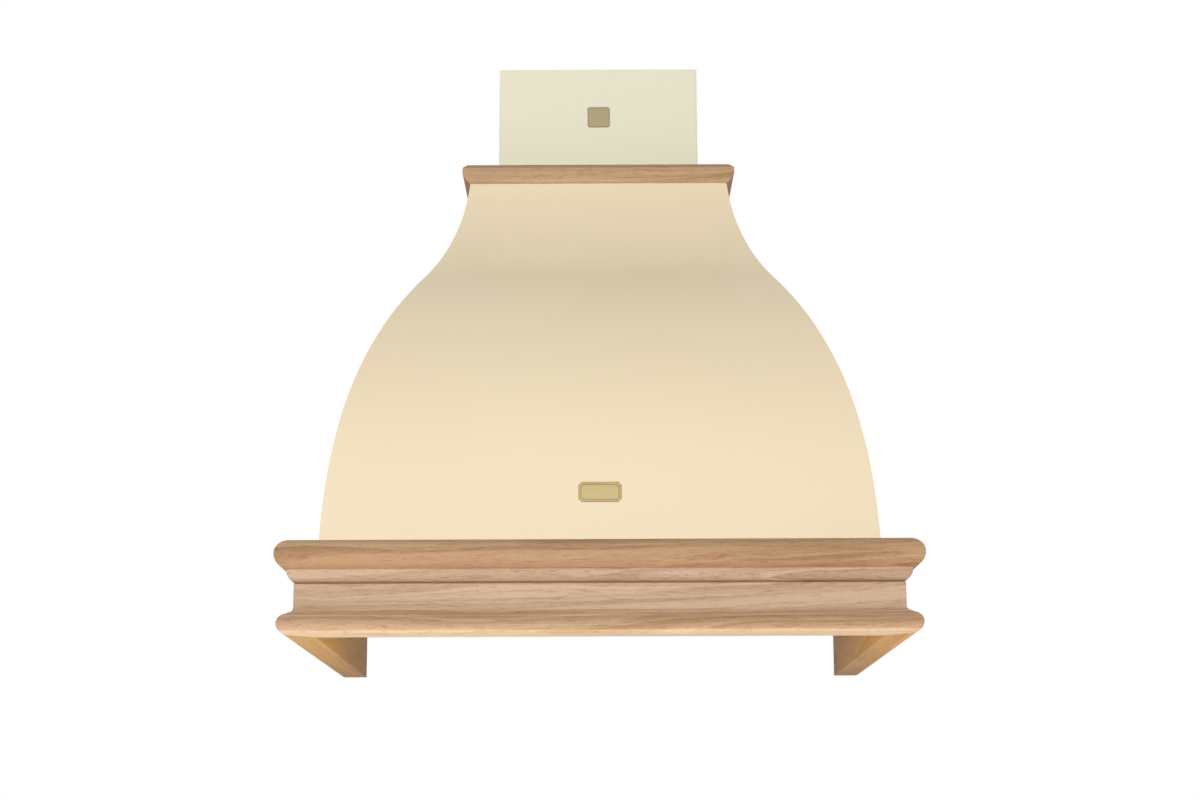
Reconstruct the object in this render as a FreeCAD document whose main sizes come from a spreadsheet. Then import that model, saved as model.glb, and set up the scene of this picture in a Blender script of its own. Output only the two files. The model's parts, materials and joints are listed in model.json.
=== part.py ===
import FreeCAD, Part
import Sketcher
import math
import os

os.makedirs("parts", exist_ok=True)

# Wall hood with a beech frame, a painted dome of three curved sheets and a sliding chimney cover.
# Heights are measured up from the underside of the beech frame, depths forward from the wall.
# The finished pieces are lowered by hang_height, so the origin is the middle of the hanging holes.
# X runs to the right, Y towards the wall and Z up.

SIZES = {
    # whole hood
    "hood_width": 600,
    "hood_depth": 480,
    "hang_height": 300,
    "overrun": 5,
    # beech rails of the lower frame, and their moulding from the outer face inwards
    "rail_height": 88,
    "rail_thickness": 36,
    "crown_bead_radius": 14,
    "crown_bead_return": 10.5,
    "ovolo_inset": 11,
    "ovolo_drop": 28.5,
    "ovolo_radius": 10,
    "fascia_inset": 17,
    "fascia_drop": 39.5,
    "foot_height": 21,
    "cove_radius": 5,
    "foot_bead_radius": 10,
    "foot_bead_inset": 3.2,
    "foot_bead_return": 12,
    # dome of painted sheet: levels, widths and the slopes of its S curve
    "sheet_gauge": 1,
    "seam_gap": 0.2,
    "skirt_bottom": 52,
    "curve_start": 60,
    "side_low_level": 203,
    "front_low_level": 162,
    "bend_level": 382,
    "neck_level": 505,
    "neck_half_width": 137,
    "neck_depth": 240,
    "side_neck_angle": 5.6,
    "front_neck_angle": 10.9,
    # back plate and its hanging holes
    "back_gauge": 1.5,
    "hang_hole_radius": 4,
    "hang_spacing_across": 250,
    "hang_spacing_up": 160,
    # beech trim round the neck
    "trim_height": 20,
    "trim_projection": 8,
    "trim_width": 24,
    "trim_lip": 4,
    "trim_chamfer_width": 5,
    "trim_chamfer_height": 4.5,
    "trim_round_radius": 11,
    "trim_round_height": 11,
    "trim_foot": 0.5,
    "trim_gap": 0.3,
    # top plate with the chimney opening
    "top_gauge": 1,
    "opening_clearance": 1,
    "opening_flange": 12,
    # chimney cover, its guides and its stops
    "chimney_side_margin": 29,
    "chimney_front_margin": 30,
    "chimney_top": 645,
    "chimney_bottom": 330,
    "chimney_gauge": 1,
    "chimney_bend": 2.5,
    "chimney_return": 15,
    "chimney_wall_gap": 2.5,
    "guide_gauge": 1,
    "guide_overlap": 5,
    "guide_clearance": 0.8,
    "guide_flange": 14,
    "guide_web_gap": 8,
    "guide_bottom": 350,
    "guide_top": 500,
    "stop_width": 14,
    "stop_reach": 20,
    "stop_gauge": 1.5,
    "stop_height": 22,
    # panel on the underside, with its openings
    "panel_gauge": 1,
    "panel_rim": 10,
    "panel_wall_gap": 0.2,
    "side_strip": 29,
    "front_strip": 113,
    "front_row_setback": 56,
    "filter_bridge": 12,
    "filter_rear": 40,
    "filter_clearance": 1.5,
    # grease filters
    "filter_lip": 2,
    "filter_groove": 5,
    "filter_border": 12,
    "filter_front_border": 24,
    "mesh_tuck": 4,
    "mesh_clearance": 0.3,
    "hook_width": 20,
    "hook_length": 7,
    "hook_gauge": 1.5,
    "hook_clearance": 0.1,
    "hook_inset": 28,
    # sliding latch in each filter's front border
    "latch_half_width": 18,
    "latch_wing": 5,
    "latch_wing_height": 2.3,
    "latch_slot_depth": 1.5,
    "latch_play": 0.2,
    "latch_length": 12,
    "latch_back_room": 6,
    "latch_travel": 4.5,
    "latch_setback": 0.5,
    "grip_drop": 6,
    "grip_thickness": 2.5,
    # lamps
    "lamp_side_margin": 59,
    "lamp_length": 96,
    "lamp_width": 56,
    "lamp_flange_rim": 6,
    "lamp_flange_height": 2,
    "lamp_barrel_wall": 2,
    "lamp_barrel_height": 8,
    "lamp_hole_clearance": 0.5,
    "lens_gauge": 2,
    "lens_lip": 2,
    "lens_lip_height": 1,
    "lens_clearance": 0.1,
    "lamp_base_height": 4,
    "lamp_fin_height": 8,
    "lamp_fin_gauge": 2,
    # row of push buttons in their plate
    "control_plate_length": 150,
    "control_plate_width": 34,
    "control_plate_gauge": 2,
    "control_plate_corner": 6,
    "control_slot_length": 136,
    "control_slot_width": 22,
    "button_pitch": 26,
    "button_length": 15.4,
    "button_width": 9.4,
    "button_clearance": 0.3,
    "button_proud": 2.2,
    "button_flange_rim": 1.8,
    "button_flange_gauge": 1.5,
    "button_stem": 6,
    "button_stem_height": 5,
    "button_travel": 3,
    "switch_height": 22,
    "switch_width": 26,
    "switch_leg": 7,
    "switch_relief": 1,
    # blower: wheel axis, wheel, scroll housing
    "blower_level": 200,
    "wheel_radius": 86,
    "wheel_eye_radius": 71,
    "wheel_half_width": 62,
    "wheel_ring_gauge": 3,
    "wheel_disc_gauge": 2,
    "blade_thickness": 1.2,
    "blade_radius": 13,
    "blade_turn_angle": 72,
    "blade_inset": 0.6,
    "hub_radius": 12,
    "hub_reach": 9,
    "shaft_radius": 4,
    "shaft_fit": 0.02,
    "shaft_running_clearance": 0.05,
    "shaft_end": 20,
    "shaft_in_motor": 46,
    "nut_radius": 7,
    "nut_height": 5,
    "scroll_radius": 99,
    "scroll_step": 12,
    "scroll_half_width": 76,
    "scroll_wall": 2,
    "outlet_width": 150,
    "outlet_level": 318,
    "mouth_radius": 66,
    "mouth_depth": 10,
    # motor and its bracket
    "motor_radius": 41,
    "motor_shield_radius": 36,
    "motor_length": 70,
    "motor_shield_depth": 14,
    "motor_disc_gap": 12,
    "bracket_gauge": 2,
    "bracket_disc_radius": 24,
    "bracket_arm_width": 14,
    "bracket_foot_inner": 77,
    "bracket_foot_outer": 92,
    # outlet collar with its two flaps
    "spigot_radius": 74.5,
    "spigot_wall": 1.5,
    "spigot_height": 57,
    "spigot_flange_half": 82,
    "spigot_flange_gauge": 2,
    "ledge_level": 12,
    "ledge_height": 2,
    "ledge_depth": 3,
    "ledge_width": 16,
    "flap_gauge": 1,
    "flap_gap": 1,
    "flap_pin_radius": 2,
    "flap_pin_clearance": 0.05,
    "flap_lug_half": 3.5,
    "flap_lug_length": 20,
    "flap_lug_inner": 18,
    "flap_lug_gap": 4,
    "flap_edge": 0.5,
    # brackets from the scroll housing to the back plate
    "blower_bracket_gauge": 1.5,
    "blower_bracket_flange": 20,
    "blower_bracket_overlap": 40,
    "blower_bracket_bottom": 160,
    "blower_bracket_top": 290,
    # electrical parts on the back plate
    "box_gap": 10,
    "box_bottom": 240,
    "box_width": 64,
    "box_height": 56,
    "box_depth": 30,
    "box_wall": 2,
    "lid_gauge": 2,
    "gland_corner": 9,
    "gland_cap_corner": 7.5,
    "gland_bore": 4,
    "gland_height": 16,
    "capacitor_bottom": 240,
    "capacitor_width": 38,
    "capacitor_depth": 22,
    "capacitor_height": 46,
    "clip_gauge": 1.5,
    "clip_play": 0.1,
    "clip_height": 12,
    "clip_foot": 8,
}

# Shares of the steepest slope that the sheets reach at their low level.
SIDE_LOW_SHARE = 0.327
FRONT_LOW_SHARE = 0.252

BLADE_COUNT = 24
ARM_COUNT = 3
HUB_SIDES = 12
SHIELD_SIDES = 12
HEXAGON = 6
FIN_COUNT = 7
BUTTONS = ("button_off", "button_speed_1", "button_speed_2", "button_speed_3", "button_light")

doc = FreeCAD.newDocument("RangeHood")
sheet = doc.addObject("Spreadsheet::Sheet", "sizes")
for row, (name, value) in enumerate(SIZES.items(), start=1):
    sheet.set("A%d" % row, name)
    sheet.set("B%d" % row, str(value))
    sheet.setAlias("B%d" % row, name)
doc.recompute()


class Measure:
    """A length or angle: its number, and the expression that binds it to the sheet."""

    def __init__(self, text, value):
        self.text = text
        self.value = value

    def __add__(self, other):
        return joined(self, "+", other, self.value + plain(other).value)

    def __radd__(self, other):
        return plain(other) + self

    def __sub__(self, other):
        return joined(self, "-", other, self.value - plain(other).value)

    def __rsub__(self, other):
        return plain(other) - self

    def __mul__(self, other):
        return joined(self, "*", other, self.value * plain(other).value)

    def __rmul__(self, other):
        return plain(other) * self

    def __truediv__(self, other):
        return joined(self, "/", other, self.value / plain(other).value)

    def __neg__(self):
        return Measure("(0 - %s)" % self.text, -self.value)


def plain(number):
    if isinstance(number, Measure):
        return number
    return Measure("%r" % number, number)


def joined(first, sign, second, value):
    return Measure("(%s %s %s)" % (plain(first).text, sign, plain(second).text), value)


def root_of(measure):
    return Measure("sqrt(%s)" % measure.text, math.sqrt(measure.value))


def sine(angle):
    return Measure("sin(%s)" % angle.text, math.sin(math.radians(angle.value)))


def cosine(angle):
    return Measure("cos(%s)" % angle.text, math.cos(math.radians(angle.value)))


def tangent(angle):
    return Measure("tan(%s)" % angle.text, math.tan(math.radians(angle.value)))


class Sheet:
    """Every named size as an attribute."""


s = Sheet()
for name in SIZES:
    setattr(s, name, Measure("sizes." + name, float(sheet.get(name))))

pieces = []


def keep(piece, across=0, forward=0, level=0):
    """Place a finished piece, lowered so that the hanging holes are at the origin."""
    piece.setExpression("Placement.Base.x", plain(across).text)
    piece.setExpression("Placement.Base.y", (-plain(forward)).text)
    piece.setExpression("Placement.Base.z", (plain(level) - s.hang_height).text)
    pieces.append(piece)


def body_named(name):
    body = doc.addObject("PartDesign::Body", name)
    body.Label = name
    return body


def sketch_on(body, plane, offset=0):
    """An empty sketch on one of the body's own planes, moved along that plane's normal."""
    sketch = body.newObject("Sketcher::SketchObject", body.Name + "_sketch")
    support = [face for face in body.Origin.OriginFeatures if face.Role == plane][0]
    sketch.AttachmentSupport = [(support, "")]
    sketch.MapMode = "FlatFace"
    sketch.setExpression("AttachmentOffset.Base.z", plain(offset).text)
    return sketch


def hold_point(sketch, geometry, point, across, up):
    """Fix one point of the sketch by two bound distances from its origin."""
    for kind, measure in (("DistanceX", plain(across)), ("DistanceY", plain(up))):
        number = sketch.addConstraint(
            Sketcher.Constraint(kind, -1, 1, geometry, point, measure.value))
        sketch.setExpression("Constraints[%d]" % number, measure.text)


def hold_radius(sketch, geometry, radius):
    number = sketch.addConstraint(Sketcher.Constraint("Radius", geometry, radius.value))
    sketch.setExpression("Constraints[%d]" % number, radius.text)


def arc_between(start, end, radius):
    """The shorter arc that runs anticlockwise from start to end."""
    chord = end - start
    middle = (start + end) * 0.5
    rise = math.sqrt(max(radius ** 2 - (chord.Length / 2) ** 2, 0))
    leftwards = FreeCAD.Vector(-chord.y, chord.x, 0).normalize()
    centre = middle + leftwards * rise
    first = math.atan2(start.y - centre.y, start.x - centre.x)
    last = math.atan2(end.y - centre.y, end.x - centre.x)
    circle = Part.Circle(centre, FreeCAD.Vector(0, 0, 1), radius)
    return Part.ArcOfCircle(circle, first, last)


def outline(sketch, corners):
    """A closed outline. Each corner is (across, up), or (across, up, radius) where the side that
    ends there is an arc, anticlockwise for a positive radius and clockwise for a negative one."""
    points = [FreeCAD.Vector(plain(c[0]).value, plain(c[1]).value, 0) for c in corners]
    sides = []
    for index, corner in enumerate(corners):
        begin, end = points[index - 1], points[index]
        if len(corner) == 2:
            side = (sketch.addGeometry(Part.LineSegment(begin, end), False), 1, 2)
        elif corner[2].value > 0:
            side = (sketch.addGeometry(arc_between(begin, end, corner[2].value), False), 1, 2)
        else:
            side = (sketch.addGeometry(arc_between(end, begin, -corner[2].value), False), 2, 1)
        sides.append(side)
    for index, side in enumerate(sides):
        before = sides[index - 1]
        sketch.addConstraint(Sketcher.Constraint("Coincident", before[0], before[2], side[0], side[1]))
    for side, corner in zip(sides, corners):
        hold_point(sketch, side[0], side[2], corner[0], corner[1])
        if len(corner) == 3:
            hold_radius(sketch, side[0], corner[2] if corner[2].value > 0 else -corner[2])
    return sketch


def rectangle(sketch, left, right, low, high):
    return outline(sketch, [(left, low), (right, low), (right, high), (left, high)])


def rounded_rectangle(sketch, half_width, half_height, corner, across=0, up=0):
    """A rectangle with four round corners, centred on (across, up)."""
    left, right = across - half_width, across + half_width
    low, high = up - half_height, up + half_height
    return outline(sketch, [
        (left + corner, low, corner), (right - corner, low),
        (right, low + corner, corner), (right, high - corner),
        (right - corner, high, corner), (left + corner, high),
        (left, high - corner, corner), (left, low + corner)])


def circle_in(sketch, radius, across=0, up=0):
    centre = FreeCAD.Vector(plain(across).value, plain(up).value, 0)
    normal = FreeCAD.Vector(0, 0, 1)
    number = sketch.addGeometry(Part.Circle(centre, normal, radius.value), False)
    hold_point(sketch, number, 3, across, up)
    hold_radius(sketch, number, radius)
    return sketch


def polygon(sketch, corner, count):
    """An even polygon whose corners lie at the given distance from the sketch's origin."""
    turns = [plain(360 / count) * index for index in range(count)]
    return outline(sketch, [(-corner * sine(turn), corner * cosine(turn)) for turn in turns])


def pad(body, sketch, length, reverse=False, both_ways=False):
    feature = body.newObject("PartDesign::Pad", body.Name + "_pad")
    feature.Profile = sketch
    feature.setExpression("Length", plain(length).text)
    feature.Reversed = reverse
    feature.SideType = "Symmetric" if both_ways else "One side"
    body.Tip = feature
    doc.recompute()
    return feature


def pocket(body, sketch, depth=None, reverse=False):
    """Cut the sketch to a depth against its normal, or right through both ways with no depth."""
    feature = body.newObject("PartDesign::Pocket", body.Name + "_pocket")
    feature.Profile = sketch
    if depth is None:
        feature.Type = "ThroughAll"
        feature.SideType = "Symmetric"
    else:
        feature.setExpression("Length", plain(depth).text)
        feature.Reversed = reverse
    body.Tip = feature
    doc.recompute()
    return feature


def plate(name, left, right, low, high, gauge, offset=0, plane="XY_Plane"):
    """A body that starts as a rectangular plate."""
    body = body_named(name)
    pad(body, rectangle(sketch_on(body, plane, offset), left, right, low, high), gauge)
    return body


def rod(name, radius, length, *place):
    """A cylinder along X that starts at the place given."""
    made = doc.addObject("Part::Cylinder", name)
    made.Label = name
    made.Placement = FreeCAD.Placement(FreeCAD.Vector(),
                                       FreeCAD.Rotation(FreeCAD.Vector(0, 1, 0), 90))
    made.setExpression("Radius", radius.text)
    made.setExpression("Height", length.text)
    keep(made, *place)


# The dome's S curve

def steepest_angle(drop, levels, low_share, neck_angle):
    """Half the range again and again until the chain of arcs falls in by the given drop."""
    low, high = neck_angle, math.pi / 2
    while high - low > 1e-12:
        angle = (low + high) / 2
        angles = (0, low_share * angle, angle, neck_angle)
        if fall_of(levels, angles) < drop:
            low = angle
        else:
            high = angle
    return (low + high) / 2


def fall_of(levels, angles):
    return sum((levels[i + 1] - levels[i]) * math.tan((angles[i] + angles[i + 1]) / 2)
               for i in range(len(levels) - 1))


def sheet_line(reach, neck, low_level, low_share, neck_angle, inset):
    """Edges of one sheet's profile as (out from the middle, up), inset from its outer skin."""
    levels = [s.curve_start.value, low_level.value, s.bend_level.value, s.neck_level.value]
    lean = math.radians(neck_angle.value)
    steep = steepest_angle(reach.value - neck.value, levels, low_share, lean)
    angles = [0, low_share * steep, steep, lean]
    top = sheet_top.value

    def inset_point(out, up, angle):
        return (out - inset * math.cos(angle), up - inset * math.sin(angle))

    out = reach.value
    lines = [(inset_point(out, s.skirt_bottom.value, 0), None)]
    lines.append((inset_point(out, levels[0], 0), None))
    for i in range(len(levels) - 1):
        radius = (levels[i + 1] - levels[i]) / (math.sin(angles[i + 1]) - math.sin(angles[i]))
        half = (angles[i] + angles[i + 1]) / 2
        middle = inset_point(out + radius * (math.cos(half) - math.cos(angles[i])),
                             levels[i] + radius * (math.sin(half) - math.sin(angles[i])), half)
        out = out + radius * (math.cos(angles[i + 1]) - math.cos(angles[i]))
        lines.append((inset_point(out, levels[i + 1], angles[i + 1]), middle))
    out = out - (top - levels[-1]) * math.tan(lean)
    lines.append((inset_point(out, top, lean), None))
    return lines


def line_edges(lines, place):
    """Edges through the profile's points, mapped into space by place(out, up)."""
    edges = []
    for (start, _), (end, middle) in zip(lines, lines[1:]):
        if middle is None:
            edges.append(Part.LineSegment(place(*start), place(*end)).toShape())
        else:
            edges.append(Part.Arc(place(*start), place(*middle), place(*end)).toShape())
    return edges


def side_line(inset):
    return sheet_line(dome_half_width, s.neck_half_width, s.side_low_level, SIDE_LOW_SHARE,
                      s.side_neck_angle, inset)


def front_line(inset):
    return sheet_line(dome_depth, s.neck_depth, s.front_low_level, FRONT_LOW_SHARE,
                      s.front_neck_angle, inset)


def to_right(out, up):
    return FreeCAD.Vector(out, 0, up)


def to_left(out, up):
    return FreeCAD.Vector(-out, 0, up)


def to_front(out, up):
    return FreeCAD.Vector(0, -out, up)


def closed_face(edges):
    return Part.Face(Part.Wire(Part.__sortEdges__(edges)))


def between(first, first_place, second, second_place):
    """A face between two profiles, closed by straight lines at its foot and top."""
    edges = line_edges(first, first_place) + line_edges(second, second_place)
    for end in (0, -1):
        edges.append(Part.LineSegment(first_place(*first[end][0]),
                                      second_place(*second[end][0])).toShape())
    return closed_face(edges)


def feature_named(name, shape):
    made = doc.addObject("Part::Feature", name)
    made.Label = name
    made.Shape = shape
    made.Placement = FreeCAD.Placement(FreeCAD.Vector(0, 0, -s.hang_height.value),
                                       FreeCAD.Rotation())
    pieces.append(made)
    return made


dome_half_width = s.hood_width / 2 - s.rail_thickness
dome_depth = s.hood_depth - s.rail_thickness
trim_top = s.neck_level + s.trim_height
plate_top = trim_top - s.trim_lip
sheet_top = plate_top - s.top_gauge
panel_top = s.skirt_bottom + s.panel_gauge
chimney_half_width = s.neck_half_width - s.chimney_side_margin
chimney_depth = s.neck_depth - s.chimney_front_margin


def dome_sheets():
    gauge = s.sheet_gauge.value
    gap = s.seam_gap.value
    reach = FreeCAD.Vector(0, -s.hood_depth.value, 0)
    span = FreeCAD.Vector(s.hood_width.value, 0, 0)
    sheath = between(side_line(0), to_left, side_line(0), to_right).extrude(reach)
    core = between(front_line(gauge + gap), to_front, [((0, s.skirt_bottom.value), None),
                   ((0, sheet_top.value), None)], to_front)
    core.translate(span * -0.5)
    core = core.extrude(span)
    front = between(front_line(0), to_front, front_line(gauge), to_front)
    front.translate(span * -0.5)
    feature_named("front_panel", front.extrude(span).common(sheath))
    for name, place in (("left_panel", to_left), ("right_panel", to_right)):
        side = between(side_line(0), place, side_line(gauge), place)
        feature_named(name, side.extrude(reach).common(core))


def back_plate():
    inset = s.sheet_gauge.value + s.seam_gap.value
    face = between(side_line(inset), to_left, side_line(inset), to_right)
    shape = face.extrude(FreeCAD.Vector(0, -s.back_gauge.value, 0))
    for across in (-1, 1):
        for up in (-1, 1):
            start = FreeCAD.Vector(across * s.hang_spacing_across.value / 2, s.overrun.value,
                                   s.hang_height.value + up * s.hang_spacing_up.value / 2)
            shape = shape.cut(Part.makeCylinder(s.hang_hole_radius.value,
                                                s.back_gauge.value + 2 * s.overrun.value,
                                                start, FreeCAD.Vector(0, -1, 0)))
    feature_named("back_plate", shape)


# Beech rails and trim

def rail_corners(outer, inwards):
    """The rail's moulded section as (along inwards, up) corners from its outer face."""
    def at(inset, up, *radius):
        return (outer + inwards * inset, up) + radius

    def bend(radius):
        return radius if inwards > 0 else -radius

    crown = s.crown_bead_radius
    crown_level = s.rail_height - crown
    under = crown - s.crown_bead_return
    crown_end = crown_level - root_of(crown * crown - under * under)
    foot = s.foot_bead_radius
    foot_middle = s.foot_bead_inset + foot
    back = foot_middle - s.foot_bead_return
    foot_start = foot + root_of(foot * foot - back * back)
    return [
        at(s.rail_thickness, 0),
        at(s.rail_thickness, s.rail_height),
        at(crown, s.rail_height),
        at(0, crown_level, bend(crown)),
        at(s.crown_bead_return, crown_end, bend(crown)),
        at(s.ovolo_inset, s.rail_height - s.ovolo_drop),
        at(s.fascia_inset, s.rail_height - s.fascia_drop, bend(s.ovolo_radius)),
        at(s.fascia_inset, s.foot_height + s.cove_radius),
        at(s.foot_bead_return, s.foot_height, bend(-s.cove_radius)),
        at(s.foot_bead_return, foot_start),
        at(s.foot_bead_inset, foot, bend(foot)),
        at(foot_middle, 0, bend(foot)),
    ]


def mitre(body, hand, corner_across, corner_forward, width, front_piece):
    """Cut a piece at 45 degrees through its outer corner: the front piece loses what lies
    outside and behind the mitre, and a side piece what lies in front of it."""
    far = width + s.overrun
    across, front = hand * corner_across, -corner_forward
    if front_piece:
        tip = (hand * (corner_across + s.overrun), front - s.overrun)
        third = (hand * (corner_across + s.overrun), front + far)
    else:
        tip = (hand * (corner_across + s.overrun), front - s.overrun)
        third = (hand * (corner_across - far), front - s.overrun)
    inner = (hand * (corner_across - far), front + far)
    pocket(body, outline(sketch_on(body, "XY_Plane"), [tip, third, inner]))


def moulded_front(name, corners, half_length, corner_forward, width):
    """A piece across the front, mitred at both ends."""
    body = body_named(name)
    pad(body, outline(sketch_on(body, "YZ_Plane"), corners), 2 * half_length, both_ways=True)
    for hand in (-1, 1):
        mitre(body, hand, half_length, corner_forward, width, True)
    return body


def moulded_side(name, hand, corners, length, corner_across, width):
    """A piece from the wall to the front, mitred at its front end."""
    body = body_named(name)
    pad(body, outline(sketch_on(body, "XZ_Plane"), corners), length)
    mitre(body, hand, corner_across, length, width, False)
    return body


def beech_frame():
    half = s.hood_width / 2
    keep(moulded_front("front_rail", rail_corners(-s.hood_depth, 1), half, s.hood_depth,
                       s.rail_thickness))
    for name, hand in (("left_rail", -1), ("right_rail", 1)):
        keep(moulded_side(name, hand, rail_corners(hand * half, -hand), s.hood_depth, half,
                          s.rail_thickness))


def trim_corners(outer, inwards, neck):
    """The neck trim's section: a lip over the top plate and a round under a chamfer."""
    def at(inset, up, *radius):
        return (outer + inwards * inset, up) + radius

    skin = s.trim_projection - s.trim_gap
    return [
        at(skin, s.neck_level),
        at(skin, plate_top),
        at(s.trim_width, plate_top),
        at(s.trim_width, trim_top),
        at(s.trim_chamfer_width, trim_top),
        at(0, trim_top - s.trim_chamfer_height),
        at(0, s.neck_level + s.trim_round_height),
        at(skin - s.trim_foot, s.neck_level, neck),
    ]


def neck_trim():
    half = s.neck_half_width + s.trim_projection
    depth = s.neck_depth + s.trim_projection
    corners = trim_corners(-depth, 1, s.trim_round_radius)
    keep(moulded_front("top_trim_front", corners, half, depth, s.trim_width))
    for name, hand in (("top_trim_left", -1), ("top_trim_right", 1)):
        corners = trim_corners(hand * half, -hand, -hand * s.trim_round_radius)
        keep(moulded_side(name, hand, corners, depth, half, s.trim_width))


# Top plate and chimney

def top_plate():
    rise = sheet_top - s.neck_level
    half = s.neck_half_width - rise * tangent(s.side_neck_angle)
    depth = s.neck_depth - rise * tangent(s.front_neck_angle)
    hole = chimney_half_width + s.opening_clearance
    hole_depth = chimney_depth + s.opening_clearance
    lip = hole + s.top_gauge
    lip_depth = hole_depth + s.top_gauge
    wall = s.back_gauge
    body = body_named("top_plate")
    pad(body, outline(sketch_on(body, "XY_Plane", sheet_top), [
        (-half, 0), (-half, -depth), (half, -depth), (half, 0),
        (hole, 0), (hole, -hole_depth), (-hole, -hole_depth), (-hole, 0)]), s.top_gauge)
    pad(body, outline(sketch_on(body, "XY_Plane", sheet_top), [
        (-lip, -wall), (-lip, -lip_depth), (lip, -lip_depth), (lip, -wall),
        (hole, -wall), (hole, -hole_depth), (-hole, -hole_depth), (-hole, -wall)]),
        s.opening_flange, reverse=True)
    keep(body)


def chimney_cover():
    """One sheet bent round three sides, with returns that run in the guides at the wall."""
    half, front = chimney_half_width, -chimney_depth
    gauge, bend = s.chimney_gauge, s.chimney_bend
    inner = bend - gauge
    rear = -s.chimney_wall_gap
    tip = half - s.chimney_return
    body = body_named("chimney_cover")
    pad(body, outline(sketch_on(body, "XY_Plane", s.chimney_bottom), [
        (-tip, rear), (-half, rear),
        (-half, front + bend), (bend - half, front, bend),
        (half - bend, front), (half, front + bend, bend),
        (half, rear), (tip, rear), (tip, rear - gauge), (half - gauge, rear - gauge),
        (half - gauge, front + bend), (half - bend, front + gauge, -inner),
        (bend - half, front + gauge), (gauge - half, front + bend, -inner),
        (gauge - half, rear - gauge), (-tip, rear - gauge)]), s.chimney_top - s.chimney_bottom)
    keep(body)


def chimney_guides():
    """Z shaped strips on the back plate that hold the cover's returns, and the stops below."""
    tip = chimney_half_width - s.chimney_return
    web = tip - s.guide_web_gap
    gauge = s.guide_gauge
    face = -s.back_gauge
    lip = -(s.chimney_wall_gap + s.chimney_gauge + s.guide_clearance)
    for side, hand in (("left", -1), ("right", 1)):
        guide = body_named("chimney_guide_" + side)
        pad(guide, outline(sketch_on(guide, "XY_Plane", s.guide_bottom), [
            (hand * (web - s.guide_flange), face), (hand * web, face),
            (hand * web, lip), (hand * (tip + s.guide_overlap), lip),
            (hand * (tip + s.guide_overlap), lip - gauge), (hand * (web - gauge), lip - gauge),
            (hand * (web - gauge), face - gauge), (hand * (web - s.guide_flange), face - gauge)]),
            s.guide_top - s.guide_bottom)
        keep(guide)
        stop = body_named("chimney_stop_" + side)
        top = s.chimney_bottom
        middle = chimney_half_width - s.chimney_return / 2
        pad(stop, outline(sketch_on(stop, "YZ_Plane", hand * middle), [
            (face, top - s.stop_height), (face, top), (-s.stop_reach, top),
            (-s.stop_reach, top - s.stop_gauge), (face - s.stop_gauge, top - s.stop_gauge),
            (face - s.stop_gauge, top - s.stop_height)]), s.stop_width, both_ways=True)
        keep(stop)


# Underside: panel, filters, lamps and buttons

filter_front = dome_depth - s.front_strip
filter_length = filter_front - s.filter_rear - 2 * s.filter_clearance
filter_width = dome_half_width - s.side_strip - s.filter_bridge / 2 - 2 * s.filter_clearance
filter_middle = (filter_width + s.filter_bridge) / 2 + s.filter_clearance
front_row = dome_depth - s.front_row_setback
lamp_across = dome_half_width - s.lamp_side_margin


def underside_panel():
    gap = s.panel_wall_gap
    half = dome_half_width - s.sheet_gauge - gap
    front = dome_depth - s.sheet_gauge - gap
    rear = s.back_gauge + gap
    gauge = s.panel_gauge
    body = plate("underside_panel", -half, half, -front, -rear, s.panel_rim, s.skirt_bottom)
    pocket(body, rectangle(sketch_on(body, "XY_Plane", panel_top), gauge - half, half - gauge,
                           gauge - front, -rear - gauge), s.panel_rim, reverse=True)
    openings = sketch_on(body, "XY_Plane", s.skirt_bottom)
    half_hole = filter_width / 2 + s.filter_clearance
    lamp_half = s.lamp_length / 2 - s.lamp_flange_rim + s.lamp_hole_clearance
    lamp_wide = s.lamp_width / 2 - s.lamp_flange_rim + s.lamp_hole_clearance
    for hand in (-1, 1):
        middle = hand * filter_middle
        rectangle(openings, middle - half_hole, middle + half_hole, -filter_front, -s.filter_rear)
        across = hand * lamp_across
        rectangle(openings, across - lamp_half, across + lamp_half, -front_row - lamp_wide,
                  lamp_wide - front_row)
    rectangle(openings, -s.control_slot_length / 2, s.control_slot_length / 2,
              -front_row - s.control_slot_width / 2, s.control_slot_width / 2 - front_row)
    pocket(body, openings)
    keep(body)


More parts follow.
